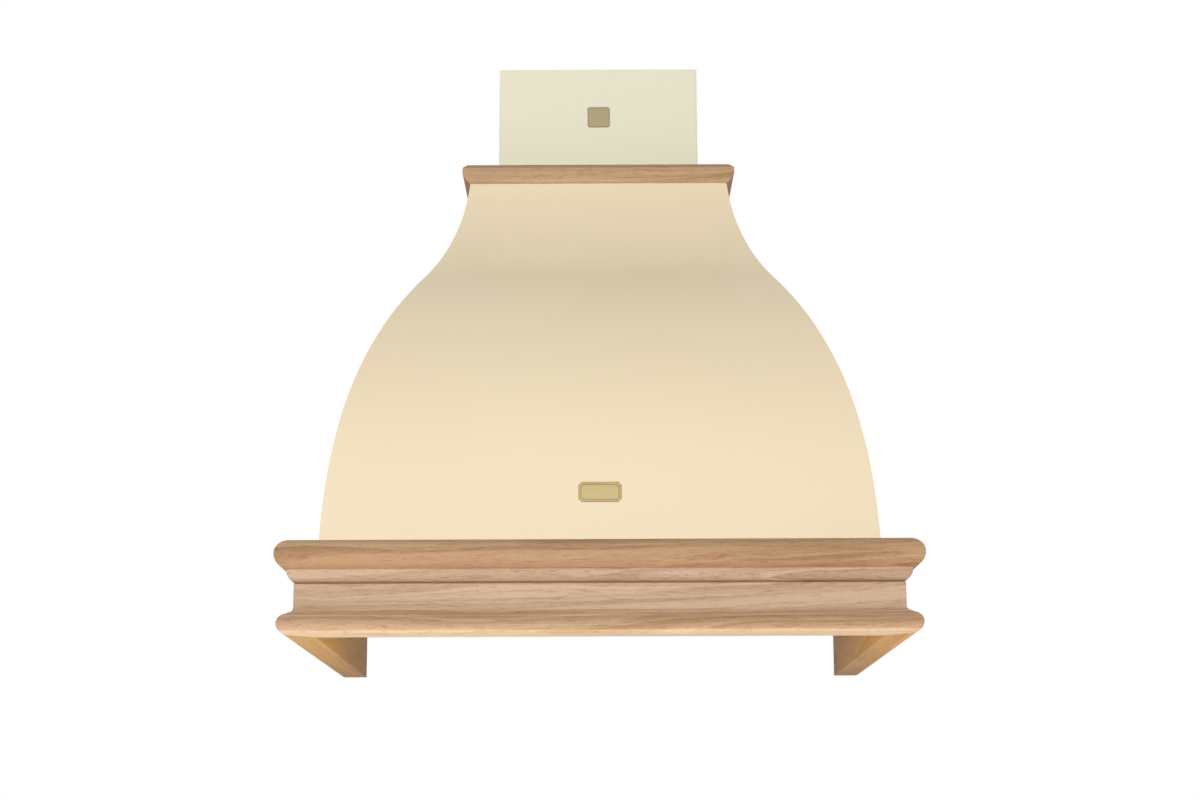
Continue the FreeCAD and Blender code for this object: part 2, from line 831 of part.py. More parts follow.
def grease_filter(side, hand):
    """Frame in three layers, so that the mesh sits in a groove, with hooks at the rear."""
    half = filter_width / 2
    middle = hand * filter_middle
    rear = s.filter_rear + s.filter_clearance
    back, front = -rear, -(rear + filter_length)
    window = half - s.filter_border
    window_front = front + s.filter_front_border
    window_back = back - s.filter_border
    groove = window + s.mesh_tuck
    lip, depth = s.filter_lip, s.filter_groove
    body = body_named("filter_frame_" + side)
    layers = (
        (0, lip, window, window_front, window_back),
        (lip, depth, groove, window_front - s.mesh_tuck, window_back + s.mesh_tuck),
        (lip + depth, lip, window, window_front, window_back))
    for start, gauge, reach, low, high in layers:
        ring = sketch_on(body, "XY_Plane", start)
        rectangle(ring, -half, half, front, back)
        rectangle(ring, -reach, reach, low, high)
        pad(body, ring, gauge)
    hooks = sketch_on(body, "XY_Plane", s.panel_gauge + s.hook_clearance)
    for left in (s.hook_inset - half, half - s.hook_inset - s.hook_width):
        rectangle(hooks, left, left + s.hook_width, back,
                  back + s.filter_clearance + s.hook_length)
    pad(body, hooks, s.hook_gauge)
    play = s.latch_play
    room = front + s.latch_length + s.latch_setback + s.latch_back_room
    slot = rectangle(sketch_on(body, "XY_Plane"), -s.latch_half_width - play,
                     s.latch_half_width + play, front - s.overrun, room)
    pocket(body, slot, s.latch_slot_depth + play, reverse=True)
    wing = s.latch_half_width + s.latch_wing + play
    tee = rectangle(sketch_on(body, "XY_Plane", s.latch_slot_depth), -wing, wing,
                    front - s.overrun, room)
    pocket(body, tee, s.latch_wing_height + 2 * play, reverse=True)
    keep(body, middle, 0, s.skirt_bottom)

    reach = groove - s.mesh_clearance
    mesh = plate("filter_mesh_" + side, -reach, reach,
                 window_front - s.mesh_tuck + s.mesh_clearance,
                 window_back + s.mesh_tuck - s.mesh_clearance, depth - s.mesh_clearance, lip)
    keep(mesh, middle, 0, s.skirt_bottom)

    latch = body_named("filter_latch_" + side)
    nose = front + s.latch_setback
    heel = nose + s.latch_length
    half_latch = s.latch_half_width
    wing_level = s.latch_slot_depth + play
    pad(latch, rectangle(sketch_on(latch, "XY_Plane"), -half_latch, half_latch,
                         nose + s.latch_travel, heel), wing_level)
    pad(latch, rectangle(sketch_on(latch, "XY_Plane", wing_level), -half_latch - s.latch_wing,
                         half_latch + s.latch_wing, nose, heel), s.latch_wing_height)
    pad(latch, rectangle(sketch_on(latch, "XY_Plane"), -half_latch, half_latch,
                         heel - s.grip_thickness, heel), s.grip_drop, reverse=True)
    keep(latch, middle, 0, s.skirt_bottom)


def lamp(side, hand):
    """Bezel, lens that rests on the bezel's lip, and finned body that holds the lens down."""
    length, width = s.lamp_length / 2, s.lamp_width / 2
    flange, wall = s.lamp_flange_height, s.lamp_barrel_wall
    barrel_top = flange + s.lamp_barrel_height
    outer, outer_width = length - s.lamp_flange_rim, width - s.lamp_flange_rim
    inner, inner_width = outer - wall, outer_width - wall
    lens, lens_width = inner - s.lens_clearance, inner_width - s.lens_clearance
    seat = s.lens_lip_height
    place = (hand * lamp_across, front_row, s.skirt_bottom - flange)
    bezel = plate("lamp_bezel_" + side, -length, length, -width, width, flange)
    pad(bezel, rectangle(sketch_on(bezel, "XY_Plane"), -outer, outer, -outer_width, outer_width),
        barrel_top)
    pocket(bezel, rectangle(sketch_on(bezel, "XY_Plane", seat), -inner, inner, -inner_width,
                            inner_width), barrel_top, reverse=True)
    pocket(bezel, rectangle(sketch_on(bezel, "XY_Plane"), s.lens_lip - inner, inner - s.lens_lip,
                            s.lens_lip - inner_width, inner_width - s.lens_lip))
    keep(bezel, *place)
    keep(plate("lamp_lens_" + side, -lens, lens, -lens_width, lens_width, s.lens_gauge, seat),
         *place)
    cover = seat + s.lens_gauge
    body = plate("lamp_body_" + side, -lens, lens, -lens_width, lens_width, barrel_top - cover,
                 cover)
    pad(body, rectangle(sketch_on(body, "XY_Plane", barrel_top), -outer, outer, -outer_width,
                        outer_width), s.lamp_base_height)
    fins = sketch_on(body, "XY_Plane", barrel_top + s.lamp_base_height)
    pitch = (2 * outer - s.lamp_fin_gauge) / (FIN_COUNT - 1)
    for index in range(FIN_COUNT):
        left = index * pitch - outer
        rectangle(fins, left, left + s.lamp_fin_gauge, -outer_width, outer_width)
    pad(body, fins, s.lamp_fin_height)
    keep(body, *place)


def controls():
    half, wide = s.control_plate_length / 2, s.control_plate_width / 2
    gauge = s.control_plate_gauge
    places = [(index - (len(BUTTONS) - 1) / 2) * s.button_pitch for index in range(len(BUTTONS))]
    body = body_named("control_plate")
    pad(body, rounded_rectangle(sketch_on(body, "XY_Plane"), half, wide, s.control_plate_corner),
        gauge)
    holes = sketch_on(body, "XY_Plane")
    length, width = s.button_length / 2, s.button_width / 2
    hole_length, hole_width = length + s.button_clearance, width + s.button_clearance
    for across in places:
        rectangle(holes, across - hole_length, across + hole_length, -hole_width, hole_width)
    pocket(body, holes)
    keep(body, 0, front_row, s.skirt_bottom - gauge)

    for name, across in zip(BUTTONS, places):
        rim, stem = s.button_flange_rim, s.button_stem / 2
        button = plate(name, -length - rim, length + rim, -width - rim, width + rim,
                       s.button_flange_gauge)
        pad(button, rectangle(sketch_on(button, "XY_Plane"), -length, length, -width, width),
            gauge + s.button_proud, reverse=True)
        pad(button, rectangle(sketch_on(button, "XY_Plane", s.button_flange_gauge), -stem, stem,
                              -stem, stem), s.button_stem_height)
        keep(button, across, front_row, s.skirt_bottom)

    relief = (s.button_flange_gauge + s.button_stem_height + s.button_travel
              + s.switch_relief)
    leg = s.control_slot_length / 2 + s.switch_relief
    end = leg + s.switch_leg
    top = relief + s.switch_height
    foot = s.panel_gauge
    switch = body_named("switch_block")
    pad(switch, outline(sketch_on(switch, "XZ_Plane"), [
        (-end, foot), (-leg, foot), (-leg, relief), (leg, relief), (leg, foot), (end, foot),
        (end, top), (-end, top)]), s.switch_width, both_ways=True)
    keep(switch, 0, front_row, s.skirt_bottom)


# Blower, in its own frame with the wheel's axis along X. Its outlet is in line with the chimney.

spigot_forward = chimney_depth / 2
scroll_reach = s.scroll_radius + 5 * s.scroll_step / 2
blower_forward = spigot_forward + scroll_reach - s.outlet_width / 2


def at_blower(piece):
    keep(piece, 0, blower_forward, s.blower_level)


def scroll_corners(grow):
    """The spiral of three quarter arcs on a small square of centres, and its outlet."""
    step = s.scroll_step
    near = step / 2
    small = s.scroll_radius + grow
    right = scroll_reach + grow
    left = right - s.outlet_width - 2 * grow
    back = left + near
    tongue = root_of(small * small - back * back) - near
    top = s.outlet_level - s.blower_level
    return [
        (left, top), (left, tongue),
        (-near - small, -near, small),
        (near, -near - small - step, small + step),
        (right, near, small + 2 * step),
        (right, top),
    ]


def scroll_housing(side, hand):
    """Half of the scroll: its side, its curved wall and the collar round its inlet."""
    body = body_named("blower_housing_" + side)
    inner, wall = s.scroll_half_width, s.scroll_wall
    outer = inner + wall
    backwards = hand < 0
    pad(body, outline(sketch_on(body, "YZ_Plane"), scroll_corners(wall)), outer, backwards)
    pocket(body, outline(sketch_on(body, "YZ_Plane"), scroll_corners(0)), inner, not backwards)
    eye = s.mouth_radius
    pad(body, circle_in(sketch_on(body, "YZ_Plane", hand * (outer - s.mouth_depth)), eye + wall),
        s.mouth_depth - wall, backwards)
    pocket(body, circle_in(sketch_on(body, "YZ_Plane"), eye))
    at_blower(body)


def around_axis(body, name, originals, count):
    """Copies of the features, spread evenly about the blower's axis."""
    pattern = body.newObject("PartDesign::PolarPattern", name)
    pattern.Originals = originals
    axis = [line for line in body.Origin.OriginFeatures if line.Role == "X_Axis"][0]
    pattern.Axis = (axis, [""])
    pattern.Angle = 360
    pattern.Occurrences = count
    body.Tip = pattern
    doc.recompute()


def impeller():
    """Double inlet wheel: a centre disc with its hub, and on each side of it a cage of forward
    curved blades with an end ring. Each blade is bent twice, on a circle round its own centre.
    The disc and the rings have a corner for each blade."""
    disc = s.wheel_disc_gauge / 2
    inner, outer = s.wheel_eye_radius, s.wheel_radius
    body = body_named("impeller")
    pad(body, polygon(sketch_on(body, "YZ_Plane"), outer, BLADE_COUNT), s.wheel_disc_gauge,
        both_ways=True)
    pad(body, polygon(sketch_on(body, "YZ_Plane"), s.hub_radius, HUB_SIDES), 2 * s.hub_reach,
        both_ways=True)
    pocket(body, circle_in(sketch_on(body, "YZ_Plane"), s.shaft_radius + s.shaft_fit))
    at_blower(body)
    low = inner + s.blade_inset
    bend = s.blade_radius
    hollow = bend - s.blade_thickness
    middle, turn = s.blade_turn_angle / 2, s.blade_turn_angle
    corners = [(0, low)]
    corners += [(bend * cosine(angle) - bend, low + bend * sine(angle))
                for angle in (middle, turn)]
    corners += [(hollow * cosine(angle) - bend, low + hollow * sine(angle))
                for angle in (turn, middle)]
    corners.append((hollow - bend, low))
    for side, hand in (("left", -1), ("right", 1)):
        cage = body_named("impeller_cage_" + side)
        ring = sketch_on(cage, "YZ_Plane", hand * s.wheel_half_width)
        polygon(ring, outer, BLADE_COUNT)
        polygon(ring, inner, BLADE_COUNT)
        pad(cage, ring, s.wheel_ring_gauge, reverse=hand < 0)
        blade = pad(cage, outline(sketch_on(cage, "YZ_Plane", hand * disc), corners),
                    s.wheel_half_width - disc, reverse=hand < 0)
        around_axis(cage, "blades", [blade], BLADE_COUNT)
        at_blower(cage)


def motor_parts():
    gap = s.motor_disc_gap
    front, rear = -gap, -(gap + s.motor_length)
    body = body_named("motor")
    pad(body, circle_in(sketch_on(body, "YZ_Plane", rear), s.motor_radius),
        s.motor_length - s.motor_shield_depth)
    pad(body, polygon(sketch_on(body, "YZ_Plane", rear), s.motor_shield_radius, SHIELD_SIDES),
        s.motor_length)
    pocket(body, circle_in(sketch_on(body, "YZ_Plane", front),
                           s.shaft_radius + s.shaft_running_clearance),
           s.shaft_in_motor + s.overrun)
    at_blower(body)

    start = front - s.shaft_in_motor
    rod("motor_shaft", s.shaft_radius, s.shaft_end - start, start, blower_forward, s.blower_level)

    nut = body_named("impeller_nut")
    ring = polygon(sketch_on(nut, "YZ_Plane", s.hub_reach), s.nut_radius, HEXAGON)
    circle_in(ring, s.shaft_radius + s.shaft_fit)
    pad(nut, ring, s.nut_height)
    at_blower(nut)

    gauge = s.bracket_gauge
    bracket = body_named("motor_bracket")
    seat = s.scroll_half_width + s.scroll_wall
    pad(bracket, circle_in(sketch_on(bracket, "YZ_Plane", rear), s.bracket_disc_radius), gauge,
        reverse=True)
    wide = s.bracket_arm_width / 2
    arm = pad(bracket, rectangle(sketch_on(bracket, "YZ_Plane", rear), -wide, wide, 0,
                                 s.bracket_foot_outer), gauge, reverse=True)
    foot = pad(bracket, rectangle(sketch_on(bracket, "YZ_Plane", -seat), -wide, wide,
                                  s.bracket_foot_inner, s.bracket_foot_outer),
               -rear - seat + gauge, reverse=True)
    around_axis(bracket, "arms", [arm, foot], ARM_COUNT)
    at_blower(bracket)


# Outlet collar, in its own frame with its axis along Z at the outlet's middle

pin_level = s.ledge_level + s.ledge_height + s.flap_gauge / 2


def outlet_collar():
    body = body_named("outlet_collar")
    half, radius = s.spigot_flange_half, s.spigot_radius
    inner = radius - s.spigot_wall
    reach = radius - s.spigot_wall / 2
    pad(body, rectangle(sketch_on(body, "XY_Plane"), -half, half, -half, half),
        s.spigot_flange_gauge)
    pad(body, circle_in(sketch_on(body, "XY_Plane"), radius), s.spigot_height)
    pocket(body, circle_in(sketch_on(body, "XY_Plane"), inner))
    ledges = sketch_on(body, "XY_Plane", s.ledge_level)
    for low, high in ((-reach, s.ledge_depth - inner), (inner - s.ledge_depth, reach)):
        rectangle(ledges, -s.ledge_width / 2, s.ledge_width / 2, low, high)
    pad(body, ledges, s.ledge_height)
    pocket(body, circle_in(sketch_on(body, "YZ_Plane"), s.flap_pin_radius, 0, pin_level))
    keep(body, 0, spigot_forward, s.outlet_level)
    rod("flap_pin", s.flap_pin_radius, 2 * radius - s.spigot_wall, s.spigot_wall / 2 - radius,
        spigot_forward, s.outlet_level + pin_level)


def outlet_flap(name, facing, own, other):
    """A half disc with two lugs on the pin, cut away where the other flap's lugs turn."""
    radius = (s.spigot_radius - s.spigot_wall - s.flap_gap).value
    gauge = s.flap_gauge.value
    length = s.flap_lug_length.value
    lug = s.flap_lug_half.value
    edge = s.flap_edge.value
    bore = (s.flap_pin_radius + s.flap_pin_clearance).value
    clear = math.hypot(lug, lug) + edge
    shape = Part.makeCylinder(radius, gauge, FreeCAD.Vector(0, 0, -gauge / 2))
    behind = FreeCAD.Vector(-radius, -(bore + edge), -gauge)
    if facing > 0:
        behind.y = bore + edge - 2 * radius
    shape = shape.cut(Part.makeBox(2 * radius, 2 * radius, 2 * gauge, behind))
    for hand in (-1, 1):
        start = hand * (other + length / 2) - length / 2 - edge
        shape = shape.cut(Part.makeBox(length + 2 * edge, 2 * clear, 2 * clear,
                                       FreeCAD.Vector(start, -clear, -clear)))
        start = hand * (own + length / 2) - length / 2
        shape = shape.fuse(Part.makeBox(length, 2 * lug, 2 * lug,
                                        FreeCAD.Vector(start, -lug, -lug)))
        shape = shape.cut(Part.makeCylinder(bore, length, FreeCAD.Vector(start, 0, 0),
                                            FreeCAD.Vector(1, 0, 0)))
    made = feature_named(name, shape.removeSplitter())
    place = FreeCAD.Vector(0, -spigot_forward.value,
                           (s.outlet_level + pin_level - s.hang_height).value)
    made.Placement = FreeCAD.Placement(place, FreeCAD.Rotation())


def blower_brackets():
    """Angles that screw to the back plate and to the sides of the scroll housing."""
    web = s.scroll_half_width + s.scroll_wall
    gauge = s.blower_bracket_gauge
    face = -s.back_gauge
    front = s.outlet_width / 2 - spigot_forward - s.blower_bracket_overlap
    for side, hand in (("left", -1), ("right", 1)):
        body = body_named("blower_bracket_" + side)
        pad(body, outline(sketch_on(body, "XY_Plane", s.blower_bracket_bottom), [
            (hand * web, face), (hand * web, front),
            (hand * (web + gauge), front), (hand * (web + gauge), face - gauge),
            (hand * (web + s.blower_bracket_flange), face - gauge),
            (hand * (web + s.blower_bracket_flange), face)]),
            s.blower_bracket_top - s.blower_bracket_bottom)
        keep(body)


# Electrical parts on the back plate

def electrical_parts():
    half, wall, depth = s.box_width / 2, s.box_wall, s.box_depth
    face = s.back_gauge
    start = s.scroll_half_width + s.scroll_wall + s.blower_bracket_flange + s.box_gap
    box_across = start + half
    box = body_named("terminal_box")
    pad(box, rectangle(sketch_on(box, "XZ_Plane"), -half, half, 0, s.box_height), depth)
    pocket(box, rectangle(sketch_on(box, "XZ_Plane", wall), wall - half, half - wall, wall,
                          s.box_height - wall), depth, reverse=True)
    pocket(box, circle_in(sketch_on(box, "XY_Plane", s.box_height), s.gland_bore, 0, -depth / 2),
           wall)
    keep(box, box_across, face, s.box_bottom)
    lid = plate("terminal_lid", -half, half, 0, s.box_height, s.lid_gauge, depth, "XZ_Plane")
    pad(lid, rectangle(sketch_on(lid, "XZ_Plane", depth), wall - half + s.seam_gap,
                       half - wall - s.seam_gap, wall + s.seam_gap,
                       s.box_height - wall - s.seam_gap), wall, reverse=True)
    keep(lid, box_across, face, s.box_bottom)
    gland = body_named("cable_gland")
    step = s.gland_height / 2
    pad(gland, polygon(sketch_on(gland, "XY_Plane"), s.gland_corner, HEXAGON), step)
    pad(gland, polygon(sketch_on(gland, "XY_Plane", step), s.gland_cap_corner, HEXAGON), step)
    pocket(gland, circle_in(sketch_on(gland, "XY_Plane"), s.gland_bore))
    keep(gland, box_across, face + depth / 2, s.box_bottom + s.box_height)

    gauge, foot = s.clip_gauge, s.clip_foot
    inner = s.capacitor_width / 2 + s.clip_play
    outer = inner + gauge
    under = -s.capacitor_depth - s.clip_play
    capacitor_across = start + foot + outer
    keep(plate("capacitor", -s.capacitor_width / 2, s.capacitor_width / 2, -s.capacitor_depth, 0,
               s.capacitor_height), -capacitor_across, face, s.capacitor_bottom)
    clip = body_named("capacitor_clip")
    pad(clip, outline(sketch_on(clip, "XY_Plane"), [
        (-outer - foot, 0), (-outer - foot, -gauge), (-outer, -gauge), (-outer, under - gauge),
        (outer, under - gauge), (outer, -gauge), (outer + foot, -gauge), (outer + foot, 0),
        (inner, 0), (inner, under), (-inner, under), (-inner, 0)]), s.clip_height)
    keep(clip, -capacitor_across, face,
         s.capacitor_bottom + (s.capacitor_height - s.clip_height) / 2)


dome_sheets()
back_plate()
beech_frame()
neck_trim()
top_plate()
chimney_cover()
chimney_guides()
underside_panel()
for side, hand in (("left", -1), ("right", 1)):
    grease_filter(side, hand)
    lamp(side, hand)
    scroll_housing(side, hand)
controls()
impeller()
motor_parts()
outlet_collar()
near_lug = s.flap_lug_inner.value
far_lug = (s.flap_lug_inner + s.flap_lug_length + s.flap_lug_gap).value
outlet_flap("flap_front", -1, near_lug, far_lug)
outlet_flap("flap_rear", 1, far_lug, near_lug)
blower_brackets()
electrical_parts()
doc.recompute()

for made in doc.Objects:
    if "Invalid" in made.State or "Error" in made.State:
        raise RuntimeError("%s did not build: %s" % (made.Name, made.State))
    if made.TypeId == "PartDesign::Pocket":
        if made.Shape.Volume >= made.BaseFeature.Shape.Volume:
            raise RuntimeError("%s cuts nothing" % made.Name)
for piece in pieces:
    if piece.Shape.isNull() or not piece.Shape.isValid() or not piece.Shape.Solids:
        raise RuntimeError("%s has no sound shape" % piece.Label)
for piece in pieces:
    piece.Shape.exportStep(os.path.join("parts", piece.Label + ".step"))
print("%d pieces" % len(pieces))
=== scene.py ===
import json
import math

import bmesh
import bpy
from mathutils import Matrix, Vector
from mathutils.bvhtree import BVHTree

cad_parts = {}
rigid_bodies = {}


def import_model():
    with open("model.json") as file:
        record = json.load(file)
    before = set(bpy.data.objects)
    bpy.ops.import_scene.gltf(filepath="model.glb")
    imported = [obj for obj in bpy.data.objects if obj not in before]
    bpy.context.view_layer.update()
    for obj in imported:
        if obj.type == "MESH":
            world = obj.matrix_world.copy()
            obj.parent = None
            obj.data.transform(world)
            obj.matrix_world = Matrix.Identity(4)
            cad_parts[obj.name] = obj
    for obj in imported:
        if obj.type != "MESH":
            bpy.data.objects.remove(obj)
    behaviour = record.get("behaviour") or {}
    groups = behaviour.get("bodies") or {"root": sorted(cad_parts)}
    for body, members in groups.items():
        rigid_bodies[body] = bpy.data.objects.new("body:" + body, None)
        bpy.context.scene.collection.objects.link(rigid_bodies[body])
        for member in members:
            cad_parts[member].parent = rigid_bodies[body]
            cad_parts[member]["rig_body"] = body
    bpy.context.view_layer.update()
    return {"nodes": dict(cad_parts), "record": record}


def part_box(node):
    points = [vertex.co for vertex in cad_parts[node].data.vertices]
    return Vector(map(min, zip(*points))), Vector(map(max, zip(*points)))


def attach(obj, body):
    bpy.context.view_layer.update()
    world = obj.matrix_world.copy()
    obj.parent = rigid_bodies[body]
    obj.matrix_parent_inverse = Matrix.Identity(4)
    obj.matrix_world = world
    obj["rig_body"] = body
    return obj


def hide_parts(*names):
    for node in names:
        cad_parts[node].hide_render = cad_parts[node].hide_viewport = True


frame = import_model()

# Lengths are in metres. Levels are counted from the underside of the beech frame, and LOW is
# where that underside lies in the frame that the CAD and this script share.
MM = 0.001
LOW = -300 * MM

HOOD_HALF = 300 * MM
HOOD_DEPTH = 480 * MM

UP, DOWN, TO_WALL, TO_RIGHT = (0, 0, 1), (0, 0, -1), (0, 1, 0), (1, 0, 0)


class Wire:
    """One output in a node tree. Arithmetic on it adds Math nodes to that tree."""

    def __init__(self, maker, socket):
        self.maker = maker
        self.socket = socket

    def math(self, operation, *values):
        return self.maker.node("ShaderNodeMath", {"operation": operation}, values)

    def other(self, name):
        return Wire(self.maker, self.socket.node.outputs[name])

    def __add__(self, value):
        return self.math("ADD", self, value)

    def __radd__(self, value):
        return self.math("ADD", value, self)

    def __sub__(self, value):
        return self.math("SUBTRACT", self, value)

    def __mul__(self, value):
        return self.math("MULTIPLY", self, value)


class Tree:
    """A node tree that is filled node by node."""

    def __init__(self, tree):
        self.tree = tree

    def feed(self, socket, value):
        if isinstance(value, Wire):
            self.tree.links.new(value.socket, socket)
        else:
            socket.default_value = value

    def node(self, kind, settings=None, inputs=(), output=0):
        """Add a node: its settings come first, then the values or wires of its sockets."""
        made = self.tree.nodes.new(kind)
        for name, value in (settings or {}).items():
            setattr(made, name, value)
        pairs = inputs.items() if isinstance(inputs, dict) else enumerate(inputs)
        for key, value in pairs:
            self.feed(made.inputs[key], value)
        return Wire(self, made.outputs[output])

    def end(self, kind, wire):
        """Add an output node and feed its first socket."""
        self.feed(self.tree.nodes.new(kind).inputs[0], wire)


def ink(red, green, blue):
    """A colour as it is read off a screen, 0 to 255, as the linear colour that shaders take."""
    def linear(level):
        share = level / 255
        return share / 12.92 if share <= 0.04045 else ((share + 0.055) / 1.055) ** 2.4
    return (linear(red), linear(green), linear(blue), 1)


def toned(color, factor):
    """A linear colour made lighter or darker."""
    return tuple(min(1.0, part * factor) for part in color[:3]) + (1,)


# A colour Mix node's sockets go by number, because its other kinds use the same names.
MIX_FIRST, MIX_SECOND, MIX_RESULT = 6, 7, 2


class Finish(Tree):
    """A material with one Principled shader."""

    def __init__(self, name, **sockets):
        self.material = bpy.data.materials.new(name)
        self.material.use_nodes = True
        super().__init__(self.material.node_tree)
        self.shader = self.tree.nodes["Principled BSDF"]
        self.place = self.node("ShaderNodeTexCoord", output="Object")
        for socket, value in sockets.items():
            self.set(socket.replace("_", " ").title().replace("Ior", "IOR"), value)

    def set(self, socket, value):
        self.feed(self.shader.inputs[socket], value)

    def stretched(self, x, y, z):
        """Object coordinates, each scaled on its own."""
        return self.node("ShaderNodeVectorMath", {"operation": "MULTIPLY"},
                         [self.place, (x, y, z)])

    def noise(self, vector, scale=1.0, detail=3.0, roughness=0.55):
        return self.node("ShaderNodeTexNoise", None, {
            "Vector": vector, "Scale": scale, "Detail": detail, "Roughness": roughness})

    def ramp(self, value, low, high, from_value=0.0, to_value=1.0):
        """value moved from the range low to high to another range, and kept inside it."""
        return self.node("ShaderNodeMapRange", {"clamp": True},
                         [value, low, high, from_value, to_value])

    def blend(self, first, second, factor, kind="MIX"):
        return self.node("ShaderNodeMix", {"data_type": "RGBA", "blend_type": kind},
                         {0: factor, MIX_FIRST: first, MIX_SECOND: second}, MIX_RESULT)

    def bump(self, height, strength, distance):
        self.set("Normal", self.node("ShaderNodeBump", None, {
            "Strength": strength, "Distance": distance, "Height": height}))


# How far apart the growth rings lie, how far the grain wanders, and the colour of the flecks.
RING = 10.5 * MM
WANDER = 30 * MM
FLECK = ink(140, 98, 66)

# Pale and deep tones painted on the wood inside the frame and under the side rails, and those that
# both reach at the wall, over the length of a side rail's inner face: painted shade on the inner
# faces, the warm light from below painted on the undersides, and a painted shade that deepens
# towards the wall.
INSIDE_PAINTED_SHADE = (ink(244, 184, 94), ink(210, 147, 65))
UNDERSIDE_PAINTED_LIGHT = (ink(230, 179, 108), ink(196, 139, 72))
WALLWARD_PAINTED_SHADE = (ink(106, 62, 22), ink(72, 42, 14))
WALLWARD_REACH = 400 * MM

# How sharply one tone gives way to the next.
TONE_EDGE = 0.6 * MM


def beech(name, along, slant, seed, tones, inner_face=None):
    """Steamed beech. The grain runs along one axis, climbs by slant and wanders. Growth rings
    cut by the face give bands that darken slowly and end at a sharp pale line, some with pale
    flames between them. Dark dashes and short fine flecks lie in the grain. tones lists (level,
    pale, deep) from the top down: the beads are cut from darker strips than the fascia between
    them, and many of the other steps are painted light and shade. inner_face is a place on the
    axis across the grain, the side of it that is inside, and a level: inside, and below that
    level, the wood takes deeper, warmer tones that paint the shade on the inner faces and the
    warm light from below on the undersides, and on a side rail a painted shade darkens it
    towards the wall."""
    finish = Finish(name, specular_ior_level=0.12)
    axes = finish.node("ShaderNodeSeparateXYZ", None, [finish.place], output="X")
    run = axes.other(along) + seed
    side = axes.other("Y" if along == "X" else "X")
    rise = axes.other("Z")

    wander = finish.noise(finish.node("ShaderNodeCombineXYZ", None, [
        run * 3.6, side * 20.0, rise * 34.0]), 1.0, 1.0) - 0.5
    lift = rise + side * 0.45 + run * slant + wander * WANDER

    def grain(along_scale, across_scale, detail=2.0, roughness=0.5):
        vector = finish.node("ShaderNodeCombineXYZ", None, [
            run * along_scale, side * across_scale, lift * across_scale])
        return finish.noise(vector, 1.0, detail, roughness)

    ripple = grain(14.0, 120.0, 3.0) - 0.5
    turn = lift * (1 / RING) + ripple * 0.5
    ring = turn.math("FRACT", turn)
    late = finish.ramp(ring, 0.08, 0.92) * finish.ramp(ring, 0.92, 1.0, 1.0, 0.0)
    early = finish.ramp(ring, 0.0, 0.10, 1.0, 0.0)
    presence = finish.ramp(grain(2.6, 26.0, 1.0), 0.38, 0.60)
    tone = finish.ramp(grain(3.0, 44.0, 2.0), 0.32, 0.68)
    streak = finish.ramp(grain(15.0, 300.0, 3.0, 0.6), 0.32, 0.68)
    hair = finish.ramp(grain(95.0, 1100.0, 2.0, 0.6), 0.42, 0.66)
    dash = finish.ramp(grain(45.0, 900.0, 1.0), 0.58, 0.68)
    flame = finish.ramp(grain(2.4, 62.0, 0.0), 0.54, 0.58)
    fleck = finish.ramp(grain(190.0, 1300.0, 0.0), 0.68, 0.78)
    depth = (late * presence * 0.44 + tone * 0.24 + streak * 0.18 + hair * 0.24 + dash * 0.40
             - early * presence * 0.30 - flame * 0.34)
    pale, deep = tones[0][1:]
    for level, next_pale, next_deep in tones[1:]:
        edge = level + LOW
        below = finish.ramp(rise, edge - TONE_EDGE, edge + TONE_EDGE, 1.0, 0.0)
        pale = finish.blend(pale, next_pale, below)
        deep = finish.blend(deep, next_deep, below)
    # Inside the frame and underneath, tones that paint light and shade take over the wood's own; on
    # a side rail a painted shade deepens towards the wall.
    if inner_face:
        place, inward, underside = inner_face
        inside = finish.ramp((side - place) * inward, -1.0 * MM, -0.4 * MM)
        below = finish.ramp(rise - LOW - underside, 0.0, 0.4 * MM, 1.0, 0.0)
        steps = [(inside, INSIDE_PAINTED_SHADE), (below, UNDERSIDE_PAINTED_LIGHT)]
        if along == "Y":
            painted_face = inside.math("MAXIMUM", inside, below * 0.65)
            wallward_shade = painted_face * finish.ramp(run, seed - WALLWARD_REACH, seed, 0.0, 0.9)
            steps.append((wallward_shade, WALLWARD_PAINTED_SHADE))
        for share, (painted_pale, painted_deep) in steps:
            pale = finish.blend(pale, painted_pale, share)
            deep = finish.blend(deep, painted_deep, share)
    color = finish.blend(pale, deep, finish.ramp(depth, 0.0, 1.0))
    finish.set("Base Color", finish.blend(color, FLECK, fleck * 0.36))
    finish.set("Roughness", 0.56 + streak * 0.08 - late * 0.05)
    finish.bump(hair * -0.5 - fleck * 0.7 - late * 0.3, 0.16, 0.12 * MM)
    return finish.material


def powder_coat(name, color, shade, roughness=0.36):
    """Sheet painted with a satin powder coat, with its faint orange peel."""
    finish = Finish(name, specular_ior_level=0.42)
    peel = finish.noise(finish.place, 420.0, 2.0, 0.5)
    cloud = finish.noise(finish.place, 5.0, 2.0, 0.5)
    finish.set("Base Color", finish.blend(color, shade, finish.ramp(cloud, 0.3, 0.75) * 0.35))
    finish.set("Roughness", roughness + cloud * 0.06)
    finish.bump(peel, 0.05, 0.08 * MM)
    return finish.material


def galvanised_sheet(name):
    """Zinc with its spangle: flat crystals that differ a little in tone and gloss."""
    finish = Finish(name, metallic=1.0)
    warped = finish.node("ShaderNodeVectorMath", {"operation": "ADD"}, [
        finish.place, finish.node("ShaderNodeVectorMath", {"operation": "SCALE"}, {
            0: finish.node("ShaderNodeTexNoise", None, {"Vector": finish.place, "Scale": 90.0},
                           "Color"), "Scale": 0.004})])
    cells = finish.node("ShaderNodeTexVoronoi", None, {"Vector": warped, "Scale": 170.0}, "Color")
    tone = finish.node("ShaderNodeSeparateColor", None, [cells])
    finish.set("Base Color", finish.blend(ink(186, 189, 191), ink(204, 207, 208), tone))
    finish.set("Roughness", 0.38 + tone * 0.10)
    finish.bump(tone + finish.noise(finish.place, 900.0) * 0.3, 0.06, 0.05 * MM)
    return finish.material


